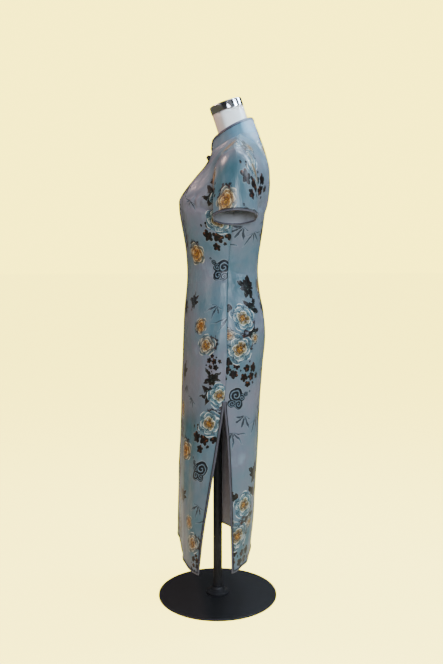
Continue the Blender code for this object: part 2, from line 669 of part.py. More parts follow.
def make_turned(name, profile, finish, place=(0, 0, 0), lean=0.0, segments=40):
    """Make a solid of revolution from (radius, height) pairs, from bottom to top."""
    work = bmesh.new()
    line = [work.verts.new((radius, 0, height)) for radius, height in profile]
    edges = [work.edges.new(pair) for pair in zip(line, line[1:])]
    bmesh.ops.spin(work, geom=line + edges, cent=(0, 0, 0), axis=(0, 0, 1),
                   angle=2 * math.pi, steps=segments, use_merge=True)
    bmesh.ops.remove_doubles(work, verts=work.verts, dist=1e-6)
    bmesh.ops.recalc_face_normals(work, faces=work.faces)
    mesh = bpy.data.meshes.new(name)
    work.to_mesh(mesh)
    work.free()
    mesh.materials.append(finish)
    mesh.shade_smooth()
    mesh.set_sharp_from_angle(angle=math.radians(35))
    thing = bpy.data.objects.new(name, mesh)
    thing.location = place
    thing.rotation_euler = (lean, 0, 0)
    bpy.context.collection.objects.link(thing)
    return thing


def make_cap():
    """Make the chromed cap on the neck's top."""
    r, h, edge = NECK_RADIUS + SEAM, CAP_HEIGHT, CAP_EDGE
    tilt = Vector((0, -math.sin(NECK_LEAN), math.cos(NECK_LEAN)))
    make_turned("neck_cap", [(0, 0), (r, 0), (r, h - edge), (r - edge, h), (0, h)], CHROME,
                NECK_TOP + tilt * SEAM, NECK_LEAN)


def make_stand():
    """Make the pole, the flange at its foot and the round base plate."""
    r, foot, top = POLE_RADIUS, BASE_THICK + SEAM, FORM_BOTTOM - 2 * SEAM
    make_turned("stand_pole", [(0, foot), (r, foot), (r, top), (0, top)], STEEL_BLACK, segments=24)
    hole, high = r + SEAM, BASE_THICK + FLANGE_HEIGHT
    make_turned("stand_flange",
                [(hole, foot), (FLANGE_RADIUS, foot), (FLANGE_RADIUS, BASE_THICK + FLANGE_RIM),
                 (r + FLANGE_RIM, high), (hole, high), (hole, foot)], STEEL_BLACK, segments=24)
    low = BASE_EDGE / 2
    make_turned("stand_base",
                [(0, 0), (BASE_RADIUS - low, 0), (BASE_RADIUS, low),
                 (BASE_RADIUS, BASE_THICK - BASE_EDGE), (BASE_RADIUS - BASE_EDGE, BASE_THICK),
                 (0, BASE_THICK)], STEEL_BLACK, segments=48)


def make_finish(name, colour, roughness, metallic=0.0):
    """Make a Principled material."""
    finish = bpy.data.materials.new(name)
    finish.use_nodes = True
    shader = finish.node_tree.nodes["Principled BSDF"]
    shader.inputs["Base Color"].default_value = (*colour, 1)
    shader.inputs["Roughness"].default_value = roughness
    shader.inputs["Metallic"].default_value = metallic
    return finish


for old in list(bpy.data.objects):
    bpy.data.objects.remove(old, do_unlink=True)

SATIN_PRINT = make_finish("satin_print", (0.33, 0.42, 0.47), 0.4)
SATIN_GREY = make_finish("satin_grey", (0.22, 0.22, 0.26), 0.45)
SATIN_BLACK = make_finish("satin_black", (0.02, 0.02, 0.025), 0.5)
FORM_WHITE = make_finish("form_white", (0.78, 0.74, 0.72), 0.5)
CHROME = make_finish("chrome", (0.75, 0.75, 0.75), 0.15, 1.0)
STEEL_BLACK = make_finish("steel_black", (0.02, 0.02, 0.02), 0.35, 0.2)

make_front()
make_underlap()
make_back()
for side in (1, -1):
    make_sleeve(side)
make_collar()
for name, place in zip(("frog_throat", "frog_chest", "frog_underarm"), FROG_PLACES):
    make_frog(name, place)
make_form()
make_cap()
make_stand()
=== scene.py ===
"""A printed silk-satin cheongsam on a limbless dress form with a chromed cap and a pole stand."""

import math
from collections import namedtuple
from functools import partial

import bmesh
import bpy
import numpy as np
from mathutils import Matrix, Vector


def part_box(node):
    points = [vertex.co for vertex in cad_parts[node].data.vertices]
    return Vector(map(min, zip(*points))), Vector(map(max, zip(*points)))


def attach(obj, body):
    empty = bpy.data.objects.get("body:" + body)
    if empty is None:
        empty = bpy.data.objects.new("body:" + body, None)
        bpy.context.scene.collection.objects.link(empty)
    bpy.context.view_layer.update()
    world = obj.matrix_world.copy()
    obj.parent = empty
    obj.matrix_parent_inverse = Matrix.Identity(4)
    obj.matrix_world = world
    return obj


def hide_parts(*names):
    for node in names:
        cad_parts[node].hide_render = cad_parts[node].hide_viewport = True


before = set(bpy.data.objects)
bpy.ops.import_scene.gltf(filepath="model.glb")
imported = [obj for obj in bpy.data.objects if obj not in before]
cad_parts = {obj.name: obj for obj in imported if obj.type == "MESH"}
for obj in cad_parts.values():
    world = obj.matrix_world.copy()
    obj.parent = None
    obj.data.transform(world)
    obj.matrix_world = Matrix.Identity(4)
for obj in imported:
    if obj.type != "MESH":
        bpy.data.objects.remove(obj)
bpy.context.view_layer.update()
MM = 0.001
SEAM = 0.5 * MM

# Camera: level with the waist, at the wearer's left and a little before it, looking slightly down.
camera = bpy.data.objects.new("camera", bpy.data.cameras.new("camera"))
bpy.context.collection.objects.link(camera)
camera.data.lens = 41.3
camera.location = (2.2308, -0.2818, 1.035)
CAMERA_TURN, CAMERA_DIP = math.radians(7.5), math.radians(5.77)
looking = Vector((-math.cos(CAMERA_TURN) * math.cos(CAMERA_DIP),
                  math.sin(CAMERA_TURN) * math.cos(CAMERA_DIP), -math.sin(CAMERA_DIP)))
camera.rotation_euler = looking.to_track_quat("-Z", "Y").to_euler()
bpy.context.scene.camera = camera


# Dress form: a limbless torso with a leaning neck, a glass-fibre shell sprayed with a satin
# off-white lacquer. The dress hangs from its shoulders, so only its neck shows.
def colour(code):
    """Return an sRGB hex colour as linear red, green, blue and alpha."""
    parts = [int(code[i:i + 2], 16) / 255 for i in (1, 3, 5)]
    return (*[((c + 0.055) / 1.055) ** 2.4 if c > 0.04045 else c / 12.92 for c in parts], 1)


def add(tree, kind, *inputs, stops=(), **settings):
    """Add a node with its settings, set or link its inputs in order, and return its output.

    The kind may name the node's operation too, as "Math.SINE" does.
    """
    kind, _, operation = kind.partition(".")
    node = tree.nodes.new("ShaderNode" + kind)
    if operation:
        node.operation = operation
    for name, value in settings.items():
        setattr(node, name, value)
    for k, (place, code) in enumerate(stops):
        marks = node.color_ramp.elements
        mark = marks[0] if k == 0 else marks[-1] if k == len(stops) - 1 else marks.new(place)
        mark.position, mark.color = place, colour(code)
    for socket, value in zip([s for s in node.inputs if s.enabled], inputs):
        if isinstance(value, bpy.types.NodeSocket):
            tree.links.new(value, socket)
        elif value is not None:
            socket.default_value = value
    return next(s for s in node.outputs if s.enabled)


def new_finish(name, **values):
    """Make a material and return it with its node tree and its shader."""
    finish = bpy.data.materials.new(name)
    finish.use_nodes = True
    shader = finish.node_tree.nodes["Principled BSDF"]
    for socket, value in values.items():
        shader.inputs[socket.replace("_", " ")].default_value = value
    return finish, finish.node_tree, shader


def put_bump(shader, height, strength, distance):
    """Link a height pattern to a shader's normal."""
    tree = shader.id_data
    bump = add(tree, "Bump", strength, distance)
    tree.links.new(height, bump.node.inputs["Height"])
    tree.links.new(bump, shader.inputs["Normal"])


def lay(under, mask, over):
    """Lay one colour over another by a mask."""
    return add(mask.id_data, "Mix", mask, under, over, data_type="RGBA")


def tint_finely(shader, scale, detail, low, high):
    """Give a finish two close tones in a fine noise, and return the noise."""
    tree = shader.id_data
    tone = add(tree, "TexNoise", add(tree, "TexCoord").node.outputs["Object"], scale, detail)
    tree.links.new(lay(colour(low), tone, colour(high)), shader.inputs["Base Color"])
    return tone


def make_object(name, work, *finishes):
    """Turn a bmesh into a smooth object with its finishes, and return the object."""
    mesh = bpy.data.meshes.new(name)
    work.to_mesh(mesh)
    work.free()
    mesh.shade_smooth()
    for finish in finishes:
        mesh.materials.append(finish)
    piece = bpy.data.objects.new(name, mesh)
    bpy.context.collection.objects.link(piece)
    return piece


def finish_piece(piece, slot, *nodes):
    """Let a piece ride on the body and stand for CAD nodes, which it hides. Its slot is not used."""
    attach(piece, "root")
    if nodes:
        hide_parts(*nodes)


# Sprayed lacquer: a slight orange peel of about 4 mm and faint dust tones.
lacquer, tree, shader = new_finish("sprayed_lacquer", Roughness=0.42, Coat_Weight=0.15,
                                   Coat_Roughness=0.25)
tint_finely(shader, 9.0, 3.0, "#E4D5C8", "#EFE6DC")
at = add(tree, "TexCoord").node.outputs["Object"]
put_bump(shader, add(tree, "TexNoise", at, 250.0, 2.0), 0.08, 0.0004)

work = bmesh.new()
work.from_mesh(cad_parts["form_body"].data)
bmesh.ops.remove_doubles(work, verts=work.verts, dist=1e-5)
bmesh.ops.join_triangles(work, faces=work.faces, angle_face_threshold=0.7,
                         angle_shape_threshold=0.7)
crease = work.edges.layers.float.new("crease_edge")
for edge in work.edges:
    if len(edge.link_faces) == 2 and edge.calc_face_angle() > math.radians(50):
        edge[crease] = 0.8
form = make_object("form_shell", work, lacquer)
form.data.set_sharp_from_angle(angle=math.radians(60))
subdivision = form.modifiers.new("smooth", "SUBSURF")
subdivision.levels = subdivision.render_levels = 2
finish_piece(form, "form_white", "form_body")


# Neck cap: a spun steel cup with a rolled edge, polished and chromed, pressed on the neck's top.
NECK_LEAN = math.radians(19)
NECK_TOP = Vector((0, 0.0300, 1.4500))
CAP_RADIUS, CAP_HEIGHT, CAP_ROLL, CAP_RIM = 0.0480, 0.0225, 0.0030, 0.0070
EDGE_BREAK = 0.0006
chrome, tree, shader = new_finish("polished_chrome", Metallic=1.0, Roughness=0.09)
smear = tint_finely(shader, 60.0, 3.0, "#C9CBCE", "#DADBDC")
tree.links.new(add(tree, "MapRange", smear, 0.3, 0.7, 0.05, 0.16), shader.inputs["Roughness"])


def spun(name, profile, finish, place=(0, 0, 0), lean=0.0, steps=96):
    """Spin (radius, height) pairs into a solid, lean it and put it in place, in its mesh."""
    work = bmesh.new()
    line = [work.verts.new((radius, 0, height)) for radius, height in profile]
    edges = [work.edges.new(pair) for pair in zip(line, line[1:])]
    bmesh.ops.spin(work, geom=line + edges, cent=(0, 0, 0), axis=(0, 0, 1), angle=2 * math.pi,
                   steps=steps, use_merge=True)
    bmesh.ops.remove_doubles(work, verts=work.verts, dist=1e-6)
    bmesh.ops.recalc_face_normals(work, faces=work.faces)
    turn = Vector((0, 0, 1)).rotation_difference(Vector((0, -math.sin(lean), math.cos(lean))))
    bmesh.ops.rotate(work, verts=work.verts, cent=(0, 0, 0), matrix=turn.to_matrix())
    bmesh.ops.translate(work, verts=work.verts, vec=place)
    piece = make_object(name, work, finish)
    piece.data.set_sharp_from_angle(angle=math.radians(35))
    return piece


def rounded(radius, bottom, top, roll, steps=6):
    """Return a cylinder's profile whose upper edge is rolled round."""
    arc = [(radius - roll + roll * math.cos(a), top - roll + roll * math.sin(a))
           for a in (math.pi / 2 * k / steps for k in range(steps + 1))]
    return [(0, bottom), (radius - EDGE_BREAK, bottom), (radius, bottom + EDGE_BREAK)] + arc


neck_axis = Vector((0, -math.sin(NECK_LEAN), math.cos(NECK_LEAN)))
cap_profile = rounded(CAP_RADIUS, 0, CAP_HEIGHT, CAP_ROLL)
cap_profile += [(CAP_RADIUS - CAP_RIM, CAP_HEIGHT - EDGE_BREAK), (0, CAP_HEIGHT - EDGE_BREAK)]
cap = spun("neck_cap_chrome", cap_profile, chrome, NECK_TOP + neck_axis * SEAM, NECK_LEAN)
finish_piece(cap, "cap_chrome", "neck_cap")

# Stand: a steel tube in a turned flange on a round plate, powder coated in satin black, whose
# fine texture scatters the highlights.
powder, tree, shader = new_finish("powder_coated_steel", Roughness=0.5)
put_bump(shader, tint_finely(shader, 900.0, 2.0, "#1B1C1E", "#2A2B2E"), 0.25, 0.0003)
pole_low, pole_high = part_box("stand_pole")
base_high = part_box("stand_base")[1]
flange_low, flange_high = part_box("stand_flange")
BASE_ROLL, FLANGE_RIM, FLANGE_CHAMFER = 0.002, 0.004, 0.0015
base = spun("stand_base_plate",
            rounded(base_high.x, 0, base_high.z, BASE_ROLL) + [(0, base_high.z)], powder, steps=128)
finish_piece(base, "stand_black", "stand_base")
pole = spun("stand_pole_tube", [(0, pole_low.z), (pole_high.x, pole_low.z),
                                (pole_high.x, pole_high.z), (0, pole_high.z)], powder, steps=48)
finish_piece(pole, "stand_black", "stand_pole")
# the flange rises from a low rim by a hollow slope to a chamfered collar round the pole
bore, foot, top, rim = pole_high.x + SEAM, flange_low.z, flange_high.z, flange_high.x
flange = spun("stand_flange_ring",
              [(bore, foot), (rim, foot), (rim, foot + FLANGE_RIM),
               (rim - FLANGE_CHAMFER, foot + FLANGE_RIM + FLANGE_CHAMFER),
               (bore + 0.012, foot + 0.009), (bore + 0.006, foot + 0.014),
               (bore + 0.005, top - 0.001), (bore + 0.004, top), (bore, top), (bore, foot)],
              powder, steps=64)
finish_piece(flange, "stand_black", "stand_flange")


# Front panel: printed silk satin with a thin lining, cut in one piece from the left side across
# to the diagonal opening on the right. It is shaped by bust and waist darts and hangs from the
# shoulders in a few soft folds. Lengths in the tables are in millimetres.
WALL = 1.4 * MM
NECK_STATION = 0.4
STATIONS = 121
Section = namedtuple("Section", "height half_width front cups back round_front round_back "
                     "front_left front_right back_left back_right")
SECTIONS = [Section(*row) for row in [
    (150, 203, -110, 0, 100, 2.6, 1.4, -80, -107, 15, 40),
    (270, 199, -110, 0, 107, 2.5, 1.8, -64, -87, 12, 34),
    (400, 194, -110, 0, 112, 2.4, 2.1, -42, -61, 9, 28),
    (520, 187, -109, 0, 118, 2.3, 2.2, -21, -32, 4, 15),
    (630, 180, -107, 0, 124, 2.3, 2.2, -4, -4, -4, -4),
    (720, 178, -103, 0, 131, 2.3, 2.2, 1, 1, 1, 1),
    (800, 177, -100, 0, 138, 2.3, 2.2, 4, 4, 4, 4),
    (870, 167, -96, 0, 133, 2.3, 2.2, 6, 6, 6, 6),
    (930, 151, -91, 0, 122, 2.3, 2.2, 8, 8, 8, 8),
    (990, 138, -89, 1, 117, 2.3, 2.2, 11, 11, 11, 11),
    (1050, 143, -91, 5, 120, 2.4, 2.4, 16, 16, 16, 16),
    (1110, 154, -94, 10, 127, 2.7, 2.7, 21, 21, 21, 21),
    (1150, 158, -97, 13, 130, 2.9, 3.0, 24, 24, 24, 24)]]
CUPS_APART, CUPS_SPREAD = 83, 38
Row = namedtuple("Row", "level centre_y centre_z neck_x neck_y neck_z arm_x arm_y arm_z corner")
FRONT_YOKE = [Row(*row) for row in [
    (1172, -97, 1173, 83, -104, 1172, 159, -4, 1157, 0),
    (1200, -93, 1202, 82, -103, 1200, 162, -26, 1182, 0),
    (1235, -72, 1240, 79, -76, 1242, 165, -34, 1222, 0),
    (1275, -38, 1276, 75, -36, 1288, 170, -31, 1264, 0.1),
    (1320, -24, 1308, 70, 3, 1334, 179, -11, 1300, 0.4),
    (1370, -17, 1334, 66, 56, 1375, 185, 21, 1319, 1)]]
BACK_YOKE = [Row(*row) for row in [
    (1172, 132, 1173, 83, 131, 1172, 159, 52, 1157, 0),
    (1200, 134, 1202, 82, 136, 1200, 162, 76, 1182, 0),
    (1235, 136, 1243, 79, 140, 1242, 165, 86, 1222, 0),
    (1275, 140, 1290, 75, 135, 1292, 169, 81, 1266, 0.1),
    (1320, 135, 1338, 70, 104, 1345, 178, 59, 1303, 0.4),
    (1370, 121, 1385, 66, 56, 1375, 185, 21, 1319, 1)]]
LEVELS = np.array([s.height for s in SECTIONS] + [r.level for r in FRONT_YOKE], float)
HEM, SLIT_TOP, UNDERARM, SHOULDER = 150, 630, 1150, 1370
OPENING_START, OPENING_END = 0.05, 1112


def smooth_step(x):
    """Return a smooth rise from 0 to 1 as x does the same."""
    x = np.clip(x, 0, 1)
    return x * x * (3 - 2 * x)


def unit(vectors):
    """Return vectors at a length of 1."""
    return vectors / np.maximum(np.linalg.norm(vectors, axis=-1, keepdims=True), 1e-12)


def run_along(curve):
    """Return how far along a polyline each of its points is."""
    return np.concatenate([[0], np.cumsum(np.linalg.norm(np.diff(curve, axis=0), axis=1))])


def evenly(curve, count):
    """Resample a polyline at count points an equal distance apart."""
    run = run_along(curve)
    at = np.linspace(0, run[-1], count)
    return np.stack([np.interp(at, run, curve[:, k]) for k in range(3)], axis=1)


def bend(start, end, leave, arrive, t):
    """Return points of a cubic curve that leaves and arrives along two vectors."""
    return ((2 * t**3 - 3 * t**2 + 1) * start + (t**3 - 2 * t**2 + t) * leave
            + (3 * t**2 - 2 * t**3) * end + (t**3 - t**2) * arrive)


def section_row(section, face, left):
    """Return a half section from the centre line to the side edge, as a squared ellipse."""
    if face == "front":
        deep, power = section.front, section.round_front
        edge = section.front_left if left else section.front_right
        flat = smooth_step((SLIT_TOP - section.height) / 330)
    else:
        deep, power, flat = section.back, section.round_back, 0
        edge = section.back_left if left else section.back_right
    angle = np.linspace(0, math.pi / 2, 721)
    x = section.half_width * np.sin(angle) ** (2 / power)
    bulge = np.maximum(np.cos(angle), 0) ** (2 / power)
    bulge = bulge * (1 - flat) + (1 - np.sin(angle) ** 4) * flat
    y = edge + (deep - edge) * bulge
    if face == "front":
        y -= section.cups * np.exp(-(((x - CUPS_APART) / CUPS_SPREAD) ** 2)) * bulge
    return evenly(np.stack([x, y, np.full_like(x, section.height)], axis=1), STATIONS)


def yoke_row(row):
    """Return a half row of the yoke from the centre line by the neck line to the armhole."""
    centre = np.array([0, row.centre_y, row.centre_z], float)
    neck = np.array([row.neck_x, row.neck_y, row.neck_z], float)
    arm = np.array([row.arm_x, row.arm_y, row.arm_z], float)
    climb = (row.level - UNDERARM) / (SHOULDER - UNDERARM)
    flow = (arm - centre) * np.array([0.5, 0.25 + 0.25 * climb, 0.5])
    forward = row.centre_y < row.neck_y
    round_neck = np.array([0, 110 if forward else -110, 55 if forward else -25], float)
    into_neck = flow * (1 - row.corner) + round_neck * row.corner
    out_of_neck = flow * (1 - row.corner) + (arm - neck) * row.corner
    into_arm = (arm - neck) * np.array([0.1 + 0.9 * climb, 1.4 - 0.4 * climb, 1])
    t = np.linspace(0, 1, 101)[:, None]
    inner = bend(centre, neck, np.array([neck[0] * 1.5, 0, 0]), into_neck, t)
    outer = bend(neck, arm, out_of_neck, into_arm, t)
    count = round((STATIONS - 1) * NECK_STATION) + 1
    return np.concatenate([evenly(inner, count), evenly(outer, STATIONS - count + 1)[1:]])


def build_net(face):
    """Return the rows of points that a panel's surface runs through, from right to left edge."""
    yoke = [yoke_row(r) for r in (FRONT_YOKE if face == "front" else BACK_YOKE)]
    left = np.array([section_row(s, face, True) for s in SECTIONS] + yoke)
    right = np.array([section_row(s, face, False) for s in SECTIONS] + yoke)
    right = right[:, :0:-1] * np.array([-1, 1, 1])
    return np.concatenate([right, left], axis=1) * MM


NETS = {face: build_net(face) for face in ("front", "back")}
RUNS = {face: np.array([run_along(row)[:, None] for row in net]) for face, net in NETS.items()}


def along_levels(rows, level):
    """Read each point's column of rows at its level, on the smooth curve through the rows."""
    k = np.clip(np.searchsorted(LEVELS, level) - 1, 0, len(LEVELS) - 2)
    low = np.where(LEVELS[k] == SLIT_TOP, k, np.maximum(k - 1, 0))
    high = np.where(LEVELS[k + 1] == UNDERARM, k + 1, np.minimum(k + 2, len(LEVELS) - 1))
    each = np.arange(len(level))
    span = (LEVELS[k + 1] - LEVELS[k])[:, None]
    slope_0 = (rows[k + 1, each] - rows[low, each]) / (LEVELS[k + 1] - LEVELS[low])[:, None] * span
    slope_1 = (rows[high, each] - rows[k, each]) / (LEVELS[high] - LEVELS[k])[:, None] * span
    t = (level - LEVELS[k])[:, None] / span
    return bend(rows[k, each], rows[k + 1, each], slope_0, slope_1, t)


def read_net(net, u, level):
    """Read a net's values, where u runs -1 to 1 from its right edge to its left."""
    place = (np.ravel(u) + 1) * (STATIONS - 1)
    i = np.clip(place.astype(int), 0, 2 * STATIONS - 3)
    part = (place - i)[:, None]
    rows = net[:, i] * (1 - part) + net[:, i + 1] * part
    return along_levels(rows, np.ravel(level).astype(float)).reshape(*np.shape(u), -1)


def panel_points(face, u, level):
    """Return the points of a front or back panel."""
    return read_net(NETS[face], u, level)


def cut_places(face, u, level):
    """Return where a panel's points lie on its flat cut, in metres from the centre line."""
    run = RUNS[face] - RUNS[face][:, STATIONS - 1:STATIONS]
    return np.stack([read_net(run, u, level)[..., 0], level * MM], axis=-1)


def grid_normals(points, outside):
    """Return a grid's unit normals. Outside is 1 or -1, so that they point out."""
    return unit(np.cross(np.gradient(points, axis=1), np.gradient(points, axis=0)) * outside)


# The soft folds that the dress hangs in, and its smaller creases: where each starts and ends,
# in millimetres across from the centre line and up, its half width and its height or depth.
Crease = namedtuple("Crease", "from_across from_level to_across to_level width rise")
Fold = namedtuple("Fold", "across width depth bottom top")
FOLDS = {
    "front": [
        Fold(0.42, 0.16, 4.0, 150, 640),
        Fold(-0.55, 0.16, 3.5, 150, 600),
        Fold(0.86, 0.10, 2.5, 640, 840),
        Fold(-0.86, 0.10, 2.5, 640, 840),
    ],
    "back": [
        Fold(0.60, 0.15, 3.5, 150, 700),
        Fold(-0.48, 0.15, 4.0, 150, 640),
        Fold(0.84, 0.10, 2.5, 620, 860),
        Fold(-0.84, 0.10, 2.5, 620, 860),
    ],
}
CREASES = {
    "front": [
        # bust darts and the puckers below their points
        (168, 1215, 60, 1178, 6, -2.6), (132, 1210, 110, 1162, 3.4, 3.6),
        (141, 1211, 121, 1164, 3.2, -2.2), (151, 1212, 132, 1166, 3.4, 3.4),
        (161, 1214, 144, 1170, 3.2, -2.0), (171, 1216, 156, 1176, 3.4, 2.6),
        (-60, 1178, -150, 1205, 6, -1.5), (-92, 1184, -76, 1160, 3.2, 1.2),
        (-106, 1187, -90, 1159, 3.2, -1.1), (-122, 1190, -108, 1162, 3.2, 1.0),
        # pulls from the armholes and the underarm
        (160, 1285, 95, 1215, 9, -1.2), (172, 1250, 120, 1205, 7, 1.1), (-160, 1285, -98, 1222, 9, -1.2),
        # waist: short pulls at the side seams, and long darts
        (196, 1010, 150, 1000, 6, 1.0), (198, 985, 140, 992, 5, -1.1), (200, 955, 160, 968, 6, 1.0),
        (-196, 1005, -148, 998, 6, 1.0), (-198, 978, -142, 986, 5, -1.1), (92, 1130, 88, 900, 3.0, -0.7),
        (-92, 1120, -88, 900, 3.0, -0.7),
        # hips and skirt: long soft folds beside the side seams and down from the slits' tops
        (205, 905, 196, 650, 9, 1.8), (186, 880, 176, 640, 8, -1.6), (160, 850, 158, 610, 9, 1.4),
        (222, 760, 214, 620, 5, -1.4), (128, 640, 118, 250, 16, -2.4), (165, 560, 160, 200, 12, 1.8),
        (190, 600, 184, 330, 8, -1.4), (40, 560, 52, 180, 18, -2.0), (-20, 520, -30, 170, 20, 1.8),
        (-80, 600, -92, 200, 16, -2.2), (-205, 900, -192, 655, 9, 1.6), (-180, 870, -172, 640, 9, -1.5),
        (-165, 560, -150, 210, 12, 1.6),
    ],
    "back": [
        (165, 1225, 90, 1180, 10, -1.4), (180, 1200, 120, 1150, 8, 1.1),
        (-165, 1220, -95, 1172, 10, -1.4), (-178, 1190, -120, 1140, 8, 1.1),
        (198, 1020, 140, 1004, 7, 1.2), (198, 985, 128, 985, 6, -1.3), (200, 950, 150, 966, 6, 1.1),
        (-196, 1015, -138, 1000, 7, 1.2), (-198, 980, -126, 982, 6, -1.3), (84, 1120, 88, 880, 3.0, -0.8),
        (-84, 1120, -88, 880, 3.0, -0.8), (225, 880, 214, 660, 8, 1.8), (205, 860, 194, 640, 8, -1.6),
        (176, 800, 172, 560, 10, 1.4), (205, 600, 196, 260, 10, -1.6), (172, 520, 165, 200, 12, 1.6),
        (100, 560, 92, 190, 18, -2.2), (20, 600, 28, 180, 20, 1.8), (-60, 580, -70, 190, 18, -2.0),
        (-222, 880, -212, 660, 8, 1.7), (-200, 850, -190, 640, 8, -1.5), (-170, 560, -160, 210, 12, -1.8),
        # the small of the back, where the cloth is loose
        (70, 1065, -40, 1050, 11, 1.2), (-90, 1035, 20, 1022, 10, -1.1), (120, 905, 30, 880, 12, 0.9),
        (-110, 915, -20, 892, 12, 0.9),
    ],
}

# the slight unevenness of all hanging cloth: long crossing ripples, with length, way and height
RIPPLES = ((74, 0.5, 0.40), (103, 2.4, 0.45), (51, 4.1, 0.22), (137, 1.3, 0.50))


def relief(face, u, level, across):
    """Return how far folds and creases stand out of a panel, in metres."""
    out = np.zeros(np.shape(u))
    for fold in FOLDS[face]:
        reach = np.clip(np.abs(u - fold.across) / fold.width, 0, 1)
        ends = smooth_step((fold.top - level) / 160)
        if fold.bottom > HEM:
            ends = ends * smooth_step((level - fold.bottom) / 90)
        out += fold.depth * ends * (0.5 + 0.5 * np.cos(math.pi * reach))
    for c in [Crease(*row) for row in CREASES[face]]:
        way = np.array([c.to_across - c.from_across, c.to_level - c.from_level], float)
        length = np.hypot(*way)
        x, y = across / MM - c.from_across, level - c.from_level
        share = (x * way[0] + y * way[1]) / length**2
        off = (x * way[1] - y * way[0]) / length
        off = off + c.width * 0.5 * np.sin(share * 3 + c.from_level)
        taper = smooth_step(share / 0.3) * smooth_step((1 - share) / 0.35)
        out += c.rise * taper * np.exp(-((off / c.width) ** 2))
    for wave, turn, rise in RIPPLES:
        out += rise * np.sin(2 * math.pi * (across / MM * math.cos(turn) + level * math.sin(turn)
                                            * 0.6) / wave + turn * 3) * np.sin(level / wave + turn)
    return out * MM


def seam_roll(points, normals, sides, depth=0.35 * MM, gap=0.05 * MM):
    """Turn the named sides of a grid in, as a pressed seam does. None turns the whole side."""
    rolled = points.copy()
    for side, edge, inner in (("bottom", np.s_[0], np.s_[1]), ("top", np.s_[-1], np.s_[-2]),
                              ("right", np.s_[:, 0], np.s_[:, 1]),
                              ("left", np.s_[:, -1], np.s_[:, -2])):
        if side in sides:
            share = np.ones(points[edge].shape[0])
            if side in ("right", "left") and sides[side] is not None:
                share = (points[edge][:, 2] > sides[side]).astype(float)
            way = unit(points[inner] - points[edge])
            rolled[edge] += share[:, None] * (way * gap - normals[edge] * depth)
            rolled[inner] -= share[:, None] * normals[inner] * depth * 0.2
    return rolled


def cloth(name, points, cut, outside, ring=False, wall=WALL):
    """Make a piece of lined cloth from a grid of points and their places on the flat cut."""
    rows, columns = points.shape[:2]
    work = bmesh.new()
    layer = work.loops.layers.uv.new("cut")
    bmesh.ops.create_grid(work, x_segments=columns - 1, y_segments=rows - 1, size=1)
    places = [(round((v.co.y + 1) / 2 * (rows - 1)), round((v.co.x + 1) / 2 * (columns - 1)))
              for v in work.verts]
    for vertex, place in zip(work.verts, places):
        vertex.co = points[place]
    for face in work.faces:
        for loop in face.loops:
            loop[layer].uv = cut[places[loop.vert.index]]
    if outside < 0:
        bmesh.ops.reverse_faces(work, faces=work.faces)
    if ring:
        bmesh.ops.remove_doubles(work, verts=work.verts, dist=1e-5)
    piece = make_object(name, work, print_satin, lining_satin)
    thick = piece.modifiers.new("lining", "SOLIDIFY")
    thick.thickness = wall
    thick.offset = -1
    thick.material_offset = thick.material_offset_rim = 1
    return piece


# where each panel was cut from the printed cloth, and how much longer the cloth is than it is tall
PRINT_START = {"front": (0.260, 0), "back": (0, 0)}
PRINT_STRETCH = {"front": (1, 0.968), "back": (1, 1.029)}


def make_panel(name, face, columns, levels_of, sides):
    """Make a panel from its columns and their levels, and return it, its points and normals."""
    level = np.stack([levels_of(u) for u in columns], axis=1)
    u = np.broadcast_to(columns, level.shape)
    outside = 1 if face == "front" else -1
    flat = cut_places(face, u, level)
    plain = panel_points(face, u, level)
    out = relief(face, u, level, flat[..., 0])
    points = plain + out[..., None] * grid_normals(plain, outside)
    normals = grid_normals(points, outside)
    laid = flat * PRINT_STRETCH[face] + PRINT_START[face]
    piece = cloth(name, seam_roll(points, normals, sides), laid, outside)
    return piece, points, normals


def opening_level(share):
    """Return the level of the diagonal opening at a share of the right half panel."""
    t = np.clip((share - OPENING_START) / (1 - OPENING_START), 0, 1)
    drop = 0.45 * t + 0.55 * np.sin(t * math.pi / 2) ** 1.15
    return SHOULDER - (SHOULDER - OPENING_END) * drop


# Printed silk satin: close weft floats give a soft sheen that runs across the cloth.
print_satin, print_tree, print_shader = new_finish(
    "printed_silk_satin", Roughness=0.28, Specular_IOR_Level=0.42)
ink = partial(add, print_tree)   # adds a node to the print

# The print, inked on the cloth before it is cut: peonies in white, teal and gold with near-black
# leaves, sprays of bamboo and curled clouds, on a washed slate-blue ground. It repeats every
# 520 mm across and 540 mm along the cloth. Places and sizes are in millimetres.
REPEAT = (0.520, 0.540)
Motif = namedtuple("Motif", "across along size turn warm seed")
PEONIES = [Motif(*row) for row in [
    (190, 347, 41, 0.3, 0.0, 0.10), (212, 260, 44, 1.9, 0.1, 0.70), (158, 288, 17, 5.5, 0.6, 0.25),
    (244, 300, 20, 2.8, 0.7, 0.55), (62, 432, 30, 4.4, 1.0, 0.35), (52, 262, 34, 0.8, 0.2, 0.85),
    (362, 465, 32, 2.6, 1.0, 0.30), (404, 272, 22, 0.9, 1.0, 0.50), (430, 222, 31, 4.0, 0.5, 0.90),
    (476, 88, 35, 5.1, 0.0, 0.20), (455, 12, 38, 3.3, 0.1, 0.60), (300, 30, 30, 1.2, 0.9, 0.40)]]
LEAVES = [Motif(*row) for row in [
    (146, 436, 58, 1.5, 0.1, 0.11), (150, 376, 46, 2.9, 0.2, 0.42), (238, 378, 42, 0.5, 0.3, 0.73),
    (166, 306, 34, 3.9, 0.2, 0.57), (454, 92, 40, 2.6, 0.2, 0.24), (452, 134, 38, 1.4, 0.2, 0.95),
    (306, 140, 36, 5.0, 0.3, 0.36), (352, 337, 34, 0.7, 0.2, 0.67), (284, 316, 36, 1.9, 0.4, 0.18),
    (86, 46, 40, 2.9, 0.3, 0.59), (26, 300, 30, 3.7, 0.2, 0.80)]]
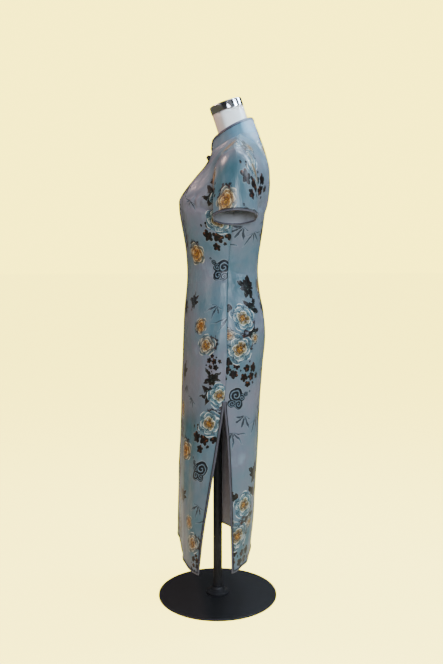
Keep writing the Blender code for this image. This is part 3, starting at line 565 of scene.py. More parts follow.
CLUSTERS = [Motif(*row) for row in [
    (240, 208, 40, 0.2, 0.9, 0.31), (176, 182, 42, 2.0, 0.7, 0.62), (444, 520, 48, 0.9, 0.6, 0.83),
    (293, 508, 38, 2.9, 0.9, 0.14), (70, 380, 36, 4.4, 0.7, 0.45), (452, 178, 26, 5.2, 0.8, 0.26),
    (34, 216, 36, 1.3, 0.8, 0.77)]]
LOBES = [Motif(*row) for row in [
    (-60, 420, 330, 0.4, 0.0, 0.1), (520, 330, 240, 1.4, 0.0, 0.3), (-540, -20, 270, 2.3, 0.0, 0.5),
    (180, -160, 320, 3.6, 0.0, 0.7), (-260, -560, 330, 4.4, 0.0, 0.9), (660, -200, 120, 5.3, 0.0, 0.2),
    (440, -680, 230, 0.9, 0.0, 0.4), (-640, 480, 110, 2.9, 0.0, 0.6), (-880, -420, 100, 2.1, 0.0, 0.8)]]
BAMBOO = [Motif(*row) for row in [
    (186, 66, 62, 1.3, 0.0, 0.17), (146, 50, 54, 1.9, 0.5, 0.58), (226, 22, 52, 1.6, 0.9, 0.39),
    (104, 84, 46, 1.2, 1.0, 0.91), (341, 104, 58, 1.7, 0.2, 0.71), (380, 72, 46, 2.0, 0.9, 0.22),
    (484, 300, 56, 1.4, 0.5, 0.86), (444, 330, 46, 1.9, 1.0, 0.48), (92, 196, 54, 1.6, 0.6, 0.33)]]
CLOUDS = [Motif(*row) for row in [
    (212, 121, 36, 0.1, 0.0, 0.3), (438, 424, 34, 0.5, 0.0, 0.6), (46, 110, 34, 0.3, 0.0, 0.9)]]
CURLS = [Motif(*row) for row in [
    (60, 200, 600, 0.0, 0.0, 0.1), (-420, -60, 340, 2.2, 0.0, 0.4), (440, -420, 330, 4.1, 0.0, 0.7),
    (-60, -560, 400, 1.0, 0.0, 0.9), (-860, 160, 200, 3.0, 0.0, 0.2), (-1180, 300, 110, 5.0, 0.0, 0.5)]]


def nearest_motif(place, motifs, repeat):
    """Return the place inside the nearest motif in its own size, how far out it is, its traits."""
    best, inside, traits = 9.0, (9, 9, 0), (0, 0, 0)
    half = (repeat[0] / 2, repeat[1] / 2, 1)
    for motif in motifs:
        way = ink("VectorMath.SUBTRACT", place, (motif.across * MM, motif.along * MM, 0))
        way = ink("VectorMath.WRAP", way, half, [-h for h in half])
        way = ink("VectorMath.SCALE", way, 1 / (motif.size * MM))
        out = ink("VectorMath.LENGTH", way)
        closer = ink("Math.LESS_THAN", out, best)
        inside = ink("Mix", closer, inside, way, data_type="VECTOR")
        traits = ink("Mix", closer, traits, motif[3:], data_type="VECTOR")
        best = ink("Math.MINIMUM", out, best)
    traits = ink("SeparateXYZ", traits).node
    turned = ink("VectorRotate", inside, (0, 0, 0), traits.outputs["X"],
                 rotation_type="Z_AXIS")
    return turned, best, traits.outputs["Y"], traits.outputs["Z"]


def ragged(place, seed, scale, size):
    """Return a place shaken by noise, so that what is drawn there has brushed edges."""
    shift = ink("CombineXYZ", seed, seed, seed)
    spot = ink("VectorMath.MULTIPLY_ADD", shift, (9, 9, 9), place)
    shake = ink("TexNoise", spot, scale, 2.0).node.outputs["Color"]
    shake = ink("VectorMath.SUBTRACT", shake, (0.5, 0.5, 0.5))
    return ink("VectorMath.MULTIPLY_ADD", shake, (size, size, 0), place)


def polar(place):
    """Return the distance and the angle of a place from the middle."""
    parts = ink("SeparateXYZ", place).node.outputs
    return (ink("VectorMath.LENGTH", place),
            ink("Math.ARCTAN2", parts["Y"], parts["X"]))


def lobed(out, angle, petals, phase, blunt, notch, reach=1):
    """Return how far out a place lies in an outline of round lobes, and how far a lobe swells."""
    lobe = ink("Math.MULTIPLY_ADD", angle, petals / 2, phase)
    lobe = ink("Math.SINE", lobe)
    lobe = ink("Math.ABSOLUTE", lobe)
    lobe = ink("Math.POWER", lobe, blunt)
    edge = ink("Math.MULTIPLY_ADD", lobe, notch * reach, (1 - notch) * reach)
    return ink("Math.DIVIDE", out, edge), lobe


def draw_blades(under, motifs, place, count, width, shape):
    """Draw fans of leaves: count to a fan, of a width, in shape's colours and lengths."""
    inside, _, warm, seed = nearest_motif(place, motifs, REPEAT)
    inside = ragged(inside, seed, 3.0, shape["shake"])
    out, angle = polar(inside)
    step = ink("Math.MULTIPLY_ADD", angle, count / (2 * math.pi), count / 2)
    which = ink("Math.FLOOR", step)
    which = ink("Math.FLOORED_MODULO", which, count)
    aside = ink("Math.FRACT", step)
    chance = ink("Math.MULTIPLY_ADD", seed, 37.0, which)
    chance = ink("TexWhiteNoise", chance, noise_dimensions="1D")
    skew = ink("Math.MULTIPLY_ADD", chance, 0.36, 0.32)
    aside = ink("Math.SUBTRACT", aside, skew)
    aside = ink("Math.MULTIPLY", aside, out)
    aside = ink("Math.MULTIPLY", aside, 2 * math.pi / count)
    aside = ink("Math.ABSOLUTE", aside)
    length = ink("MapRange", chance, 0.12, 1.0, *shape["lengths"])
    way = ink("Math.DIVIDE", out, length)
    swell = ink("Math.POWER", way, shape["belly"])
    swell = ink("Math.MULTIPLY", swell, math.pi)
    swell = ink("Math.SINE", swell)
    tooth = ink("TexNoise", inside, 9.0, 3.0)
    tooth = ink("MapRange", tooth, 0.3, 0.7, 0.6, 1.15)
    swell = ink("Math.MULTIPLY", swell, tooth)
    edge = ink("Math.MULTIPLY", swell, width)
    edge = ink("Math.SUBTRACT", edge, aside)
    tip = ink("Math.LESS_THAN", way, 1.0)
    turned = ink("Math.ABSOLUTE", angle)
    fan = ink("Math.LESS_THAN", turned, shape["spread"])
    tip = ink("Math.MULTIPLY", tip, fan)
    halo = ink("MapRange", edge, -0.035, -0.010, 0.0, shape["halo"])
    body = ink("MapRange", edge, 0.0, 0.02, 0.0, shape["depth"])
    vein = ink("MapRange", aside, 0.006, 0.014, 0.35, 0.0)
    tone = ink("TexNoise", inside, shape["mottle"], 4.0)
    leaf = ink("ValToRGB", tone, stops=shape["inks"])
    leaf = lay(leaf, vein, colour(shape["vein"]))
    rust = ink("MapRange", way, 0.35, 0.95, 0.0, 1.0)
    rust = ink("Math.MULTIPLY", rust, warm)
    leaf = lay(leaf, rust, colour(shape["tip"]))
    for mask, paint in ((halo, colour(shape["rim"])), (body, leaf)):
        under = lay(under, ink("Math.MULTIPLY", mask, tip), paint)
    return under


cut = ink("UVMap", uv_map="cut")
flow = ink("TexNoise", cut, 38.0, 2.0).node.outputs["Color"]
flow = ink("VectorMath.SUBTRACT", flow, (0.5, 0.5, 0.5))
place = ink("VectorMath.MULTIPLY_ADD", flow, (0.007, 0.007, 0), cut)

# the washed ground: teal, slate, mauve and sky, with a rosy bloom once in each repeat
wash = ink("TexNoise", place, 6.5, 4.0, 0.55)
ground = ink("ValToRGB", wash, stops=[
    (0.30, "#3F6570"), (0.42, "#5A7885"), (0.52, "#6C7F8B"), (0.62, "#777E8C"), (0.74, "#8BA2B1")])
level = ink("SeparateXYZ", place).node.outputs["Y"]
bloom = ink("Math.MULTIPLY_ADD", level, 2 * math.pi / REPEAT[1], -1.1)
bloom = ink("Math.COSINE", bloom)
drift = ink("TexNoise", place, 4.0, 2.0)
bloom = ink("Math.MULTIPLY", bloom, drift)
bloom = ink("MapRange", bloom, 0.20, 0.55, 0.0, 0.50)
ground = lay(ground, bloom, colour("#8E8490"))

# bamboo: fans of thin navy blades that hang from their stems, some of them pale ghosts
paint = draw_blades(ground, BAMBOO, place, 9, 0.075, {
    "shake": 0.12, "lengths": (0.55, 1.05), "belly": 0.8, "halo": 0.25, "depth": 0.9,
    "spread": 1.35, "mottle": 3.0, "inks": [(0.44, "#0C1219"), (0.58, "#1C2834"), (0.72, "#4E6472")],
    "vein": "#1C2834", "tip": "#54707F", "rim": "#A9B8C2"})

# curled clouds: each of six curls is a thick navy spiral on a slate ground
inside, _, warm, seed = nearest_motif(place, CLOUDS, REPEAT)
inside = ragged(inside, seed, 2.0, 0.20)
curl, out, warm, seed = nearest_motif(inside, CURLS, (20, 20))
out, angle = polar(curl)
wind = ink("Math.MULTIPLY_ADD", angle, 1 / (2 * math.pi), seed)
wind = ink("Math.MULTIPLY_ADD", out, 2.1, wind)
wind = ink("Math.FRACT", wind)
line = ink("ValToRGB", wind, stops=[
    (0.0, "#090D14"), (0.48, "#101820"), (0.57, "#8FA3AE"), (0.74, "#4E6472"), (0.95, "#141C26")])
halo = ink("MapRange", out, 1.00, 1.12, 0.55, 0.0)
paint = lay(paint, halo, colour("#B4C0C5"))
outline = ink("MapRange", out, 0.98, 1.02, 1.0, 0.0)
paint = lay(paint, outline, colour("#0B1118"))
body = ink("MapRange", out, 0.84, 0.90, 1.0, 0.0)
paint = lay(paint, body, line)

# leaves: near-black and ragged, mottled with grey-green, pale at the edge here and there
paint = draw_blades(paint, LEAVES, place, 8, 0.24, {
    "shake": 0.42, "lengths": (0.40, 1.05), "belly": 0.70, "halo": 0.30, "depth": 1.0,
    "spread": 3.2, "mottle": 7.0,
    "inks": [(0.40, "#010202"), (0.57, "#060808"), (0.62, "#26312F"), (0.70, "#8A9C94")],
    "vein": "#4E5F60", "tip": "#5A3520", "rim": "#A9B8BA"})

# clusters of small lobed leaves, brown-black, with fallen scraps round them
inside, _, warm, seed = nearest_motif(place, CLUSTERS, REPEAT)
inside = ragged(inside, seed, 2.4, 0.22)
leaf = nearest_motif(inside, LOBES, (20, 20))[0]
out, angle = polar(leaf)
share, lobe = lobed(out, angle, 5, 0, 0.6, 0.42)
mottle = ink("TexNoise", inside, 5.0, 4.0)
scrap = ink("ValToRGB", mottle, stops=[
    (0.42, "#020202"), (0.53, "#0A0606"), (0.59, "#34190E"), (0.67, "#7A4A2C")])
halo = ink("MapRange", share, 1.02, 1.16, 0.35, 0.0)
paint = lay(paint, halo, colour("#A9B8BA"))
paint = lay(paint, ink("MapRange", share, 0.96, 1.04, 1.0, 0.0), scrap)

# peonies: a rusty shadow of sepals below, three rings of lobed petals drawn in white line over
# dark teal, and an ochre heart; the warm ones are brown and ochre all over
Ring = namedtuple("Ring", "petals phase reach cool warm")
RINGS = [
    Ring(5, 0.0, 1.00,
         [(0.10, "#0B171C"), (0.50, "#1E3A44"), (0.82, "#48697A"), (0.92, "#6C8D96"), (0.96, "#F2F5F0")],
         [(0.10, "#120C08"), (0.50, "#40372C"), (0.80, "#5E6864"), (0.91, "#7C837A"), (0.955, "#DDD8C2")]),
    Ring(5, 0.9, 0.76,
         [(0.10, "#0E1E25"), (0.45, "#294A54"), (0.80, "#5C7E88"), (0.91, "#7E9BA1"), (0.955, "#F4F6F1")],
         [(0.10, "#1A0F08"), (0.45, "#54341A"), (0.78, "#80643C"), (0.89, "#A0895C"), (0.945, "#EADFBC")]),
    Ring(4, 0.3, 0.50,
         [(0.10, "#1C1A12"), (0.45, "#5E4C28"), (0.76, "#8E8A68"), (0.87, "#B4B8A0"), (0.92, "#F6F4E6")],
         [(0.10, "#2A160A"), (0.45, "#7E4C1C"), (0.76, "#B07E38"), (0.88, "#CFA560"), (0.93, "#F0DCA4")]),
]
inside, _, warm, seed = nearest_motif(place, PEONIES, REPEAT)
inside = ragged(inside, seed, 1.8, 0.36)
below = ink("VectorMath.ADD", inside, (0.10, 0.30, 0))
reach, angle = polar(below)
frill = ink("TexNoise", below, 3.4, 4.0, 0.7)
reach = ink("Math.MULTIPLY_ADD", frill, 1.5, reach)
shade = ink("MapRange", reach, 1.50, 1.60, 0.95, 0.0)
sepals = ink("ValToRGB", frill, stops=[
    (0.40, "#050404"), (0.50, "#1A0E0A"), (0.57, "#5A2E18"), (0.68, "#140D0A")])
paint = lay(paint, shade, sepals)
out, angle = polar(inside)
for ring in RINGS:
    share, lobe = lobed(out, angle, ring.petals, ring.phase, 0.5, 0.3, ring.reach)
    streak = ink("TexNoise", inside, 4.0 / ring.reach, 4.0)
    streak = ink("MapRange", streak, 0.3, 0.7, -0.30, 0.10)
    fade = ink("MapRange", share, 0.90, 0.96, 1.0, 0.15)
    streak = ink("Math.MULTIPLY", streak, fade)
    tone = ink("Math.MULTIPLY_ADD", lobe, 0.30, streak)
    tone = ink("Math.ADD", share, tone)
    tone = ink("Math.SUBTRACT", tone, 0.30)
    petal = lay(ink("ValToRGB", tone, stops=ring.cool), warm,
                ink("ValToRGB", tone, stops=ring.warm))
    paint = lay(paint, ink("MapRange", share, 0.985, 1.015, 1.0, 0.0), petal)
vein = ink("TexNoise", inside, 4.5, 2.0)
vein = ink("Math.SUBTRACT", vein, 0.5)
vein = ink("Math.ABSOLUTE", vein)
vein = ink("MapRange", vein, 0.005, 0.017, 0.60, 0.0)
petals = ink("MapRange", out, 0.70, 0.92, 1.0, 0.0)
vein = ink("Math.MULTIPLY", vein, petals)
paint = lay(paint, vein, lay(colour("#E9EEEA"), warm, colour("#D9CBA4")))
speck = ink("TexNoise", inside, 16.0, 2.0)
heart = ink("Math.MULTIPLY_ADD", speck, 0.16, out)
seeds = ink("ValToRGB", speck, stops=[(0.42, "#1E1006"), (0.50, "#8A541A"), (0.60, "#DDAE55")])
paint = lay(paint, ink("MapRange", heart, 0.25, 0.29, 1.0, 0.0), seeds)
print_tree.links.new(paint, print_shader.inputs["Base Color"])

# close satin floats, and the slight slackness of silk, which breaks its sheen
weave = ink("TexNoise", cut, 1500.0, 1.0)
slack = ink("Mapping", cut, None, None, (48, 18, 1))
slack = ink("TexNoise", slack, 1.0, 4.0, 0.6)
put_bump(print_shader, ink("Math.MULTIPLY_ADD", weave, 0.04, slack),
         0.5, 0.0040)

# Lining: plain slate-grey satin, which shows inside the slits, the hem, the cuffs and the collar.
lining_satin, tree, shader = new_finish("lining_satin", Roughness=0.5, Sheen_Weight=0.15)
tint_finely(shader, 14.0, 3.0, "#868D9B", "#A2A6B1")
at = add(tree, "TexCoord").node.outputs["Object"]
put_bump(shader, add(tree, "TexNoise", at, 400.0, 2.0), 0.1, 0.0003)

ROWS, COLUMNS = 317, 141
whole = np.linspace(-1, 1, COLUMNS)


def front_levels(u):
    """Return the levels of a column of the front panel, from the hem up."""
    top = opening_level(-u) if u < 0 else SHOULDER
    return np.linspace(HEM, top, ROWS)


front, front_points, front_normals = make_panel(
    "front_panel_cloth", "front", whole, front_levels,
    {"top": None, "left": SLIT_TOP * MM, "right": SLIT_TOP * MM})
finish_piece(front, "satin_print", "front_panel")

# Bindings and pipings: a bias strip of plain grey satin folded round each free edge, and beside
# it a near-black corded piping. They finish the hems and slits, cuffs, opening and collar.
bias_satin, tree, shader = new_finish("bias_satin", Roughness=0.38, Sheen_Weight=0.2)
put_bump(shader, tint_finely(shader, 70.0, 2.0, "#44454F", "#63626C"), 0.3, 0.0006)
cord_satin, tree, shader = new_finish("corded_black_satin", Roughness=0.4, Sheen_Weight=0.1)
put_bump(shader, tint_finely(shader, 260.0, 2.0, "#0E0E12", "#26242B"), 0.4, 0.0005)
TRIM_TOP = (SLIT_TOP + 2) * MM

# sections of the strips, in millimetres in from the edge and out from the cloth
BINDING_WRAP = [(4.7, 0.05), (4.4, 0.55), (2.6, 0.85), (0.6, 0.75), (-0.4, 0.2), (-0.75, -0.7),
                (-0.4, -1.6), (0.6, -2.1), (3.8, -2.0), (4.2, -1.5), (0.1, -1.45), (0.1, 0.02)]
BINDING_LAID = [(4.7, 0.1), (4.4, 0.9), (2.6, 1.3), (0.9, 1.2), (0.2, 0.7), (0.1, 0.1)]
PIPING_PLACE, PIPING_RISE, PIPING_RADIUS = 6.0, 0.7, 1.15
PIPING_ROUND = [(PIPING_PLACE + PIPING_RADIUS * math.cos(a), PIPING_RISE + PIPING_RADIUS * math.sin(a))
                for a in (math.pi / 4 * k for k in range(8))]


def sweep(name, lines, finish, closed):
    """Make a solid strip through a grid of points: rows along it, columns round its section."""
    count, sides = lines.shape[:2]
    work = bmesh.new()
    bmesh.ops.create_grid(work, x_segments=sides, y_segments=count - (0 if closed else 1), size=1)
    high = count if closed else count - 1
    for vertex in work.verts:
        i, j = round((vertex.co.y + 1) / 2 * high), round((vertex.co.x + 1) / 2 * sides)
        vertex.co = lines[i % count, j % sides]
    bmesh.ops.remove_doubles(work, verts=work.verts, dist=1e-7)
    rims = [edge for edge in work.edges if edge.is_boundary]
    if rims:
        bmesh.ops.holes_fill(work, edges=rims)
    bmesh.ops.recalc_face_normals(work, faces=work.faces)
    return make_object(name, work, finish)


def edge_frames(points, normals, path):
    """Return the points, ways in and normals of a path of (row, column, step, step) places."""
    columns = points.shape[1]
    at, ways, ups = [], [], []
    for i, j, di, dj in path:
        way = np.zeros(3)
        for step in ((di, 0), (0, dj)):
            if any(step):
                way += unit(points[i + step[0], (j + step[1]) % columns] - points[i, j])
        at.append(points[i, j])
        ways.append(way)
        ups.append(normals[i, j])
    return np.array(at), np.array(ways), np.array(ups)


def make_trim(name, surface, path, closed=False, wrap=BINDING_WRAP):
    """Make the grey binding round an edge and the dark piping beside it, and return both."""
    at, ways, ups = edge_frames(*surface, path)
    strips = []
    for kind, section, finish, slot in (("binding", wrap, bias_satin, "satin_grey"),
                                        ("piping", PIPING_ROUND, cord_satin, "satin_black")):
        lines = np.stack([at + ways * a * MM + ups * h * MM for a, h in section], axis=1)
        piece = sweep(f"{name}_{kind}_strip", lines, finish, closed)
        finish_piece(piece, slot, f"{name}_{kind}")
        strips.append(piece)
    return strips


def three_sides(points, rows, end, inward):
    """Return the path over rows of a grid's right edge, along its end row and back on its left."""
    last = points.shape[1] - 1
    path = [(i, 0, 0, 1) for i in rows] + [(end, 0, inward, 1)]
    path += [(end, j, inward, 0) for j in range(1, last)] + [(end, last, inward, -1)]
    return path + [(i, last, 0, -1) for i in reversed(rows)]


def slit_and_hem(points, top):
    """Return the path down a panel's right slit, along its hem and up its left slit."""
    return three_sides(points, range(int(np.argmax(points[:, -1, 2] > top)), 0, -1), 0, 1)


front_trims = make_trim("front_hem", (front_points, front_normals),
                        slit_and_hem(front_points, TRIM_TOP))
middle = COLUMNS // 2
top_row = len(front_points) - 1
front_trims += make_trim("opening", (front_points, front_normals),
                         [(top_row, j, -1, 0) for j in range(3, middle - 3)], wrap=BINDING_LAID)

# Frogs: knotted ball buttons of black satin cord, each with a doubled loop sewn to either side
# of the opening.
FROG_PLACES = {"frog_throat": 0.21, "frog_chest": 0.62, "frog_underarm": 0.84}
ASLANT = (0.31, -0.73, 0.61)   # a way that none of the cords runs in
FROG_STEP = 0.02
# lengths in millimetres: of the whole loops, of their outline and of the knot's
FROG_REACH, FROG_CORD = 18.0, 2.1
LOOP_START, LOOP_HALF, LOOP_LIFT, LOOP_STEPS = 3.0, 1.9, 3.6, 40
KNOT_RADIUS, KNOT_SWING, KNOT_LIFT, KNOT_RISE = 2.9, 1.8, 7.2, 2.1


def tube(points, radius, closed, sides=10):
    """Return the sections of a round cord along a line of points."""
    ways = unit(np.roll(points, -1, axis=0) - np.roll(points, 1, axis=0) if closed
                else np.gradient(points, axis=0))
    side = unit(np.cross(ways, ASLANT))
    other = np.cross(ways, side)
    angles = 2 * math.pi * np.arange(sides) / sides
    return np.stack([points + radius * (side * math.cos(a) + other * math.sin(a)) for a in angles],
                    axis=1)


for name, share in FROG_PLACES.items():
    level = float(opening_level(share))
    u = np.array([-share, -share - FROG_STEP, -share + FROG_STEP, -share - 0.01, -share])
    levels = np.array([level, opening_level(share + FROG_STEP), opening_level(share - FROG_STEP),
                       level, level + 2])
    near = panel_points("front", u, levels)
    along = unit(near[1] - near[2])
    by_share, by_level = (near[3] - near[0]) / -0.01, (near[4] - near[0]) / 2
    normal = unit(np.cross(by_share, by_level))
    normal *= -1 if normal[1] > 0 else 1
    across = np.cross(normal, along)

    def on_cloth(offsets):
        """Return points over the cloth, from millimetres along, across and out."""
        spots = []
        for a, b, out in offsets:
            step = np.linalg.lstsq(np.stack([by_share, by_level], axis=1),
                                   (along * a + across * b) * MM, rcond=None)[0]
            spot = panel_points("front", np.array([-share + step[0]]), np.array([level + step[1]]))[0]
            spots.append(spot + normal * out * MM)
        return np.array(spots)

    angle = np.linspace(0, math.pi, LOOP_STEPS)
    loops = []
    for way in (1, -1):
        out = way * (LOOP_START + (FROG_REACH - LOOP_START) * np.sin(angle) ** 0.8)
        line = np.stack([LOOP_HALF * np.cos(angle), out, np.full(LOOP_STEPS, LOOP_LIFT)], axis=1)
        loops.append(on_cloth(line))
    t = np.linspace(0, 2 * math.pi, 97)[:-1]
    wide = KNOT_RADIUS + KNOT_SWING * np.cos(3 * t)
    bead = np.stack([wide * np.cos(2 * t), wide * np.sin(2 * t),
                     KNOT_LIFT + KNOT_RISE * np.sin(3 * t)], axis=1)
    knot = on_cloth(bead)
    parts = [sweep(f"{name}_loop_{k}", tube(line, FROG_CORD * MM, False), cord_satin, False)
             for k, line in enumerate(loops)]
    parts.append(sweep(f"{name}_knot", tube(knot, FROG_CORD * MM, True), cord_satin, True))
    work = bmesh.new()
    for part in parts:
        work.from_mesh(part.data)
        bpy.data.objects.remove(part)
    frog = make_object(name + "_cord", work, cord_satin)
    finish_piece(frog, "satin_black", name)
    front_trims.append(frog)

# Front underlap: the small right front piece that the front panel closes over.
lap_columns = np.linspace(-1, -0.075, 66)
underlap = make_panel(
    "front_underlap_cloth", "front", lap_columns,
    lambda u: np.linspace(opening_level(-u), SHOULDER, 60),
    {"bottom": None, "top": None, "left": None, "right": None})[0]
finish_piece(underlap, "satin_print", "front_underlap")

# Back panel: one piece from side seam to side seam, with two long darts at the waist.
back, back_points, back_normals = make_panel(
    "back_panel_cloth", "back", whole, lambda u: np.linspace(HEM, SHOULDER, ROWS),
    {"top": None, "left": SLIT_TOP * MM, "right": SLIT_TOP * MM})
finish_piece(back, "satin_print", "back_panel")
back_trims = make_trim("back_hem", (back_points, back_normals), slit_and_hem(back_points, TRIM_TOP))

# Sleeves: short set-in sleeves, each one piece round the arm with a seam at the underarm,
# falling in soft folds from the head of the sleeve.
CUFF_CENTRE = np.array([0.2100, 0.0215, 1.1335])
CUFF_ACROSS = np.array([0.0450, 0, 0.0175])
CUFF_ALONG = 0.0600
# the sleeve's flat cut, and where its head was cut from the printed cloth
SLEEVE_WIDE, SLEEVE_LONG = 2 * math.pi * 0.055, 0.165
SLEEVE_START = (0.393, 0.604)
SleeveFold = namedtuple("SleeveFold", "turn width start end rise")
SLEEVE_FOLDS = [SleeveFold(*row) for row in [
    (0.16, 0.020, 0.25, 1.3, 1.8), (0.215, 0.022, 0.10, 1.1, -2.2), (0.27, 0.018, 0.20, 1.2, 1.8),
    (0.33, 0.020, 0.05, 0.8, -1.4), (0.66, 0.024, 0.15, 0.9, 1.2), (0.75, 0.022, 0.30, 1.3, -1.8),
    (0.81, 0.020, 0.40, 1.3, 1.8), (0.88, 0.020, 0.35, 1.3, -1.6)]]


def sleeve_points(turn, along):
    """Return the left sleeve's points: turn 0 is the underarm, 0.5 the shoulder, front first."""
    ahead = turn <= 0.5
    climb = np.where(ahead, turn * 2, 2 - turn * 2)
    level = UNDERARM + (SHOULDER - UNDERARM) * climb
    ones = np.ones_like(turn)
    start = np.where(ahead[..., None], panel_points("front", ones, level),
                     panel_points("back", ones, level))
    angle = 2 * math.pi * turn
    up = 0.5 - 0.5 * np.cos(angle)
    cuff = CUFF_CENTRE - CUFF_ACROSS * np.cos(angle)[..., None]
    cuff[..., 1] -= CUFF_ALONG * np.sin(angle)
    reach = np.linalg.norm(cuff - start, axis=-1)
    zero = np.zeros_like(up)
    leave = np.stack([ones, zero, 0.05 - 0.75 * (1 - up)], -1) * (reach * (0.85 + 0.35 * up))[..., None]
    arrive = np.stack([0.30 - 0.20 * up, zero, -ones], -1) * (reach * 0.9)[..., None]
    return bend(start, cuff, leave, arrive, along[..., None])


def ring_normals(points):
    """Return the unit normals of a grid that closes to a ring, pointing out."""
    wrapped = np.concatenate([points[:, -2:-1], points, points[:, 1:2]], axis=1)
    return grid_normals(wrapped, -1)[:, 1:-1]


def make_sleeve(name, side):
    """Make a sleeve and return it with its points and normals. Side is 1 for the left."""
    along, turn = np.meshgrid(np.linspace(0, 1, 64), np.linspace(0, 1, 151), indexing="ij")
    points = sleeve_points(turn, along)
    out = np.zeros(turn.shape)
    for fold in SLEEVE_FOLDS:
        span = (along - fold.start) / (fold.end - fold.start)
        taper = smooth_step(span / 0.4) * smooth_step((1 - span) / 0.3)
        lean = fold.turn + 0.03 * (along - 0.5)
        out += fold.rise * taper * np.exp(-(((turn - lean) / fold.width) ** 2))
    points = points + (out * MM)[..., None] * ring_normals(points)
    mirror = np.array([side, 1, 1])
    points, normals = points * mirror, ring_normals(points) * mirror
    flat = np.stack([(turn - 0.5) * SLEEVE_WIDE * side + SLEEVE_START[0],
                     SLEEVE_START[1] - along * SLEEVE_LONG], axis=-1)
    piece = cloth(name, seam_roll(points, normals, {"bottom": None}), flat, -side, ring=True)
    return piece, points, normals


for side, name in ((1, "left"), (-1, "right")):
    sleeve, points, normals = make_sleeve(f"sleeve_{name}_cloth", side)
    finish_piece(sleeve, "satin_print", f"sleeve_{name}")
    ring = [(len(points) - 1, j, -1, 0) for j in range(points.shape[1] - 1)]
    cuff_trims = make_trim(f"cuff_{name}", (points[:, :-1], normals[:, :-1]), ring, closed=True)

# Collar: a stiffened stand collar of the same satin, sewn to the neckline, higher at the back
# and rounded at its two front corners.
COLLAR_FRONT = np.array([0, -0.0150, 1.3650])
COLLAR_SIDE = np.array([0.0600, 0.0450, 1.4065])
COLLAR_BACK = np.array([0, 0.1030, 1.4250])
COLLAR_CORNER, COLLAR_REACH, COLLAR_TUCK = 0.020, 0.975, 0.4 * MM
COLLAR_START = (0.200, 0.475)   # where it was cut from the printed cloth
around = COLLAR_REACH * np.sin(math.pi / 2 * np.linspace(-1, 1, 161))
share = 1 - np.abs(around)
station = NECK_STATION * np.where(share < 0.5, 2 * share, 2 - 2 * share) * np.where(around < 0, 1, -1)
top_level = np.full_like(around, SHOULDER)
foot = np.where((share < 0.5)[:, None], panel_points("front", station, top_level),
                panel_points("back", station, top_level))
lean = (0.5 - 0.5 * np.cos(share * math.pi))[:, None]
head = COLLAR_FRONT * (1 - lean) + COLLAR_BACK * lean
swell = np.sin(share * math.pi)
head[:, 0] = COLLAR_SIDE[0] * swell * np.where(around < 0, 1, -1)
head[:, 2] += (COLLAR_SIDE[2] - (COLLAR_FRONT[2] + COLLAR_BACK[2]) / 2) * swell
way = head - foot
height = np.linalg.norm(way, axis=1)
run = run_along(foot)
end = np.minimum(np.minimum(run, run[-1] - run), COLLAR_CORNER)
tall = height - COLLAR_CORNER + np.sqrt(COLLAR_CORNER**2 - (COLLAR_CORNER - end) ** 2)
rise = (tall + COLLAR_TUCK) * np.linspace(0, 1, 25)[:, None] - COLLAR_TUCK
collar_points = foot + (way / height[:, None]) * rise[..., None]
collar_normals = grid_normals(collar_points, 1)
collar_cut = np.stack([np.broadcast_to(run - run[-1] / 2, rise.shape), rise], axis=-1) + COLLAR_START
collar = cloth("collar_cloth", collar_points, collar_cut, 1)
finish_piece(collar, "satin_print", "collar")
top_row = len(collar_points) - 1
collar_trims = make_trim("collar", (collar_points, collar_normals),
                         three_sides(collar_points, range(1, top_row), top_row, -1))

# Setting: a pale cream paper sweep that is lit evenly, so that floor and wall run into each
# other, and soft studio light: cool lamps behind and beside the dress and on its collar, and
# rosy ones before it and over the chest. The world's soft panels put bands on the chrome.
FLOOR_REACH = 40
SWEEP_GLOW = 6.0
sweep_cream = colour("#FFEC56")
floor_finish, tree, shader = new_finish("cream_paper", Roughness=0.9, Base_Color=colour("#F4EBC6"))
shade = add(tree, "BsdfDiffuse", colour("#F4EBC6"))
glow = add(tree, "Emission", sweep_cream, SWEEP_GLOW * 0.9)
lit = add(tree, "AddShader", shade, glow)
seen = add(tree, "LightPath")
tree.links.new(add(tree, "MixShader", seen, shader.outputs[0], lit),
               tree.nodes["Material Output"].inputs["Surface"])
work = bmesh.new()
bmesh.ops.create_grid(work, x_segments=1, y_segments=1, size=FLOOR_REACH)
floor = make_object("studio_floor", work, floor_finish)

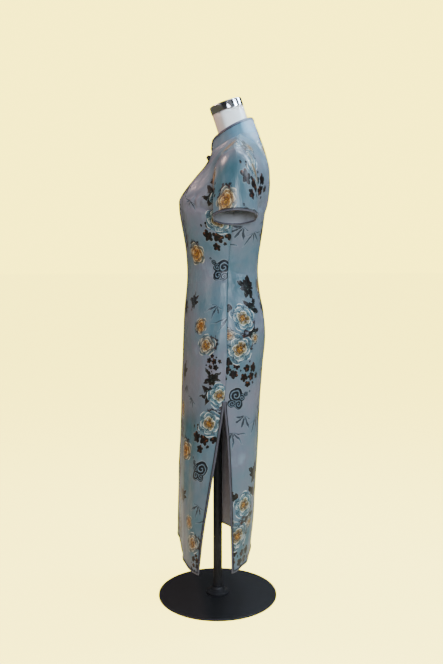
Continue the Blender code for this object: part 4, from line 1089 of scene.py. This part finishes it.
world = bpy.data.worlds.new("studio")
world.use_nodes = True
bpy.context.scene.world = world
tree = world.node_tree
soft = tree.nodes["Background"]
soft.inputs["Color"].default_value = colour("#E5E8EC")
way = add(tree, "SeparateXYZ", add(tree, "TexCoord").node.outputs["Generated"]).node.outputs
panels = add(tree, "Math.ARCTAN2", way["Y"], way["X"])
panels = add(tree, "Math.MULTIPLY_ADD", panels, 5.0, 0.6)
panels = add(tree, "Math.SINE", panels)
tree.links.new(add(tree, "MapRange", panels, -0.3, 0.5, 0.05, 0.34), soft.inputs["Strength"])
backdrop = add(tree, "Background", sweep_cream, SWEEP_GLOW)
tree.links.new(add(tree, "MixShader", add(tree, "LightPath"), soft.outputs[0], backdrop),
               tree.nodes["World Output"].inputs["Surface"])

Lamp = namedtuple("Lamp", "name place aim size power colour spread")
LAMPS = [
    Lamp("behind_the_back", (1.5, 2.1, 2.4), (0, 0.05, 1.0), 0.9, 36, "#DDE9FA", 180),
    Lamp("on_the_collar", (0.70, 1.10, 1.95), (0.03, 0.12, 1.45), 0.20, 0.6, "#B4E0FF", 16),
    Lamp("over_the_nape", (-0.20, 1.15, 2.20), (0, 0.08, 1.42), 0.35, 13, "#D6EBFF", 180),
    Lamp("over_the_far_shoulder", (-0.35, 0.50, 2.45), (0.10, 0.05, 1.38), 0.40, 10, "#DCECFF", 180),
    Lamp("before_the_wearer", (1.2, -2.6, 1.9), (0, 0, 1.0), 1.0, 8, "#FFE6DE", 180),
    Lamp("over_the_chest", (-0.35, -0.95, 2.20), (0.05, -0.06, 1.28), 0.40, 16, "#FFCFC0", 180),
    Lamp("above", (0.7, 0.2, 3.1), (0, 0, 0.8), 1.0, 14, "#F4F6FC", 180),
    Lamp("beside", (2.7, 0.2, 1.6), (0, 0, 0.8), 0.8, 41, "#E4EEFF", 180),
]
for lamp in LAMPS:
    data = bpy.data.lights.new(lamp.name, "AREA")
    data.size = lamp.size
    data.energy = lamp.power
    data.spread = math.radians(lamp.spread)
    data.color = colour(lamp.colour)[:3]
    light = bpy.data.objects.new(lamp.name, data)
    light.location = lamp.place
    light.rotation_euler = (Vector(lamp.aim) - Vector(lamp.place)).to_track_quat("-Z", "Y").to_euler()
    bpy.context.collection.objects.link(light)
